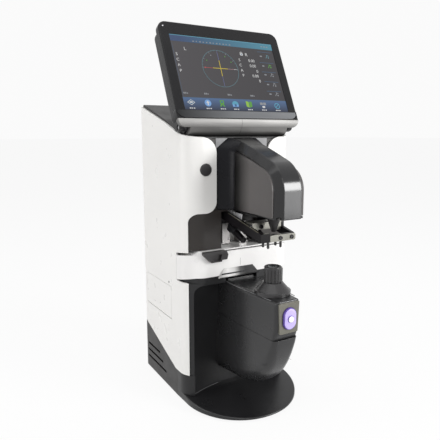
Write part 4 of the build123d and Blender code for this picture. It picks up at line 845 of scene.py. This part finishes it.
# Lower lip of the screen: a bent metal fascia as wide as the bezel, over the chin
ARC = ((-5.73, 359.26), (-4.4, 348.0), (3.0, 339.0))


def circle_of(a, b, c):
    """Centre and radius of the circle through three points."""
    d = 2 * (a[0] * (b[1] - c[1]) + b[0] * (c[1] - a[1]) + c[0] * (a[1] - b[1]))
    squares = [p[0] ** 2 + p[1] ** 2 for p in (a, b, c)]
    u = (squares[0] * (b[1] - c[1]) + squares[1] * (c[1] - a[1]) + squares[2] * (a[1] - b[1])) / d
    v = (squares[0] * (c[0] - b[0]) + squares[1] * (a[0] - c[0]) + squares[2] * (b[0] - a[0])) / d
    return u, v, sqrt((a[0] - u) ** 2 + (a[1] - v) ** 2)


arc_y, arc_z, arc_r = circle_of(*ARC)


def chin_face_y(z, proud):
    """Where the chin's curved front lies at a height."""
    return arc_y - sqrt((arc_r + proud) ** 2 - (z - arc_z) ** 2)


FASCIA_HALF_W, FASCIA_R, FASCIA_LOW, FASCIA_TOP = 86.2, 10.0, 349.5, 359.4
FASCIA_PROUD, FASCIA_BACK_Y = 0.9, -0.4
ROWS, HALF_COLUMNS = 14, 8
fascia = bmesh.new()
fronts, backs = [], []
for step in range(ROWS + 1):
    z = FASCIA_TOP - (FASCIA_TOP - FASCIA_LOW) * sin(pi / 2 * step / ROWS)
    drop = max(FASCIA_LOW + FASCIA_R - z, 0)
    half = FASCIA_HALF_W - FASCIA_R + sqrt(max(FASCIA_R ** 2 - drop ** 2, 0))
    places = [half * k / HALF_COLUMNS for k in range(-HALF_COLUMNS, HALF_COLUMNS + 1)]
    fronts.append([fascia.verts.new(at(x, chin_face_y(z, FASCIA_PROUD), z)) for x in places])
    backs.append([fascia.verts.new(at(x, FASCIA_BACK_Y, z)) for x in places])
for sheet in (fronts, backs):
    for this, following in zip(sheet, sheet[1:]):
        for k in range(2 * HALF_COLUMNS):
            fascia.faces.new((this[k], this[k + 1], following[k + 1], following[k]))
for step in range(ROWS):
    for k in (0, 2 * HALF_COLUMNS):
        fascia.faces.new((fronts[step][k], fronts[step + 1][k], backs[step + 1][k], backs[step][k]))
for front, back in ((fronts[0], backs[0]), (fronts[-1], backs[-1])):
    for k in range(2 * HALF_COLUMNS):
        fascia.faces.new((front[k], front[k + 1], back[k + 1], back[k]))
piece("screen_fascia", fascia, "screen", chin_metal)

# Round lower corners of the bezel
CORNER_X = 75.6           # where the bezel's lower corners begin to round
corners = bmesh.new()
for side in (-1, 1):
    outline = disc_points(CORNER_X, 11, 11, 11, -pi / 2, pi / 2)
    outline += [(86.6, 5.0), (86.3, 0.0), (86.0, -0.6), (CORNER_X, -0.6)]
    solid(corners, [(side * u, v) for u, v in outline], on_screen, -7.9, -0.35)
piece("bezel_corners", corners, "screen", bezel_black)

# Brushed strip of the bezel, between the display and the chin, with painted shade that darkens it toward its
# -X end
strip = bmesh.new()
right_side = disc_points(CORNER_X, 10.6, 9.6, 7, -pi / 2, pi / 2 * 6 / 8) + [(84.0, 9.4), (83.4, 10.0)]
solid(strip, right_side + [(-u, v) for u, v in reversed(right_side)], on_screen, -0.05, 0.14)
piece("bezel_strip", strip, "screen", strip_metal)

# Seam down the middle of the fascia and the chin
CHIN_SEAM_X = -0.4
seam = bmesh.new()
for proud, heights in ((0.92, (359.2, 357, 355, 353, 351, 349.7)), (0.02, (349, 347, 345, 343, 341, 339.5))):
    thread(seam, [(CHIN_SEAM_X, chin_face_y(z, proud), z) for z in heights], 0.14)
piece("chin_seam", seam, "screen", seam_dark, 80)

# Rear: inlet blades, switch marks and a socket's tongue
INLET_X, INLET_Z = -14.0, 96.0
blades = bmesh.new()
for dx, dz in ((-7.0, 0.0), (7.0, 0.0), (0.0, 4.0)):
    x, z = INLET_X + dx, INLET_Z + dz
    solid(blades, rect_points(x - 1.1, x + 1.1, z - 2.1, z + 2.1, 0.5), facing_front, 114.5, 128.3, 0.4)
solid(blades, rect_points(37.5, 50.5, 94.6, 97.0, 0.4), facing_front, 126.0, 129.6, 0.2)
piece("inlet_blades", blades, "cabinet", steel)
marks = bmesh.new()
TIP = radians(-8.0)
SWITCH_X, ROCKER_AXIS_Y = 10.0, 125.0


def on_rocker(u, v, d):
    """A point of the rocker's rear face, which is lowest in its middle."""
    y = 3.3 + 1.3 * abs(v) / 8.2 + d
    return at(SWITCH_X + u, ROCKER_AXIS_Y + y * cos(TIP) - v * sin(TIP),
              INLET_Z + y * sin(TIP) + v * cos(TIP))


solid(marks, rect_points(-0.35, 0.35, 3.4, 6.4), on_rocker, -0.1, 0.12)
hoop(marks, disc_points(0, -4.9, 1.2, 24), disc_points(0, -4.9, 1.8, 24), on_rocker, -0.1, 0.12)
piece("switch_marks", marks, "rocker", lamp_white)

# Camera at the photograph's viewpoint
CAMERA_PLACE = (-0.3289, -0.53035, 0.3427)   # metres
CAMERA_TURN, CAMERA_PITCH = 30.14, 10.04     # degrees to the right of straight ahead, and down
camera_data = bpy.data.cameras.new("camera")
camera_data.sensor_width = 36
camera_data.lens = 40.17
camera_data.clip_start = 0.01
camera_data.clip_end = 100
camera = add_object("camera", camera_data)
camera.location = CAMERA_PLACE
camera.rotation_euler = (radians(90 - CAMERA_PITCH), 0, -radians(CAMERA_TURN))
bpy.context.scene.camera = camera


# Floor, world and lamps
def shows_white(tree):
    """1 for rays that show the white background: seen, mirrored or through glass."""
    path = tree.nodes.new("ShaderNodeLightPath")
    value = path.outputs["Is Camera Ray"]
    for kind in ("Is Glossy Ray", "Is Transmission Ray"):
        either = tree.nodes.new("ShaderNodeMath")
        either.operation = "MAXIMUM"
        tree.links.new(value, either.inputs[0])
        tree.links.new(path.outputs[kind], either.inputs[1])
        value = either.outputs["Value"]
    return value


def mixed_shaders(tree, share, first, second):
    """One shader turned into another by a share from 0 to 1."""
    blend = tree.nodes.new("ShaderNodeMixShader")
    tree.links.new(share, blend.inputs["Fac"])
    tree.links.new(first, blend.inputs[1])
    tree.links.new(second, blend.inputs[2])
    return blend.outputs["Shader"]


floor_shape = bmesh.new()
bmesh.ops.create_grid(floor_shape, x_segments=8, y_segments=8, size=30)
floor_mesh = bpy.data.meshes.new("floor")
floor_shape.to_mesh(floor_mesh)
floor_shape.free()
floor = add_object("floor", floor_mesh)
floor_paint = bpy.data.materials.new("floor_white")
floor_paint.use_nodes = True
tree = floor_paint.node_tree
plain = tree.nodes["Principled BSDF"]
plain.inputs["Base Color"].default_value = (0.90, 0.90, 0.90, 1)
plain.inputs["Roughness"].default_value = 0.9
lit = tree.nodes.new("ShaderNodeEmission")
lit.inputs["Strength"].default_value = 1.0
share = tree.nodes.new("ShaderNodeMath")
share.operation = "MULTIPLY"
share.inputs[1].default_value = 0.90
tree.links.new(shows_white(tree), share.inputs[0])
seen = mixed_shaders(tree, share.outputs["Value"], plain.outputs["BSDF"], lit.outputs["Emission"])
tree.links.new(seen, tree.nodes["Material Output"].inputs["Surface"])
floor_mesh.materials.append(floor_paint)

world = bpy.data.worlds.new("studio")
bpy.context.scene.world = world
world.use_nodes = True
tree = world.node_tree
ambient = tree.nodes["Background"]
ambient.inputs["Color"].default_value = (1, 1, 1, 1)
ambient.inputs["Strength"].default_value = 0.34
backdrop = tree.nodes.new("ShaderNodeBackground")
backdrop.inputs["Color"].default_value = (1, 1, 1, 1)
backdrop.inputs["Strength"].default_value = 0.96
seen = mixed_shaders(tree, shows_white(tree), ambient.outputs["Background"], backdrop.outputs["Background"])
tree.links.new(seen, tree.nodes["World Output"].inputs["Surface"])


def lamp(name, place, target, width, height, radiance):
    """A soft box of a given brightness, with places and sizes in metres."""
    data = bpy.data.lights.new(name, "AREA")
    data.shape = "RECTANGLE"
    data.size, data.size_y = width, height
    data.energy = radiance * pi * width * height
    made = add_object(name, data)
    made.location = place
    made.rotation_euler = (Vector(target) - Vector(place)).to_track_quat("-Z", "Y").to_euler()


lamp("overhead", (-0.15, -0.15, 1.9), (0, 0, 0.2), 1.6, 1.6, 1.3)
lamp("left_box", (-1.7, 0.35, 0.75), (0, 0.05, 0.2), 1.2, 1.2, 2.6)
lamp("front_key", (-0.75, -1.55, 1.35), (0, 0, 0.3), 0.7, 0.7, 4.0)
lamp("right_box", (0.95, -1.30, 0.66), (0, -0.05, 0.30), 0.50, 0.58, 19.0)
lamp("right_low", (0.90, -1.22, 0.15), (0, -0.05, 0.20), 0.60, 0.30, 5.0)

bpy.context.scene.view_settings.view_transform = "Standard"
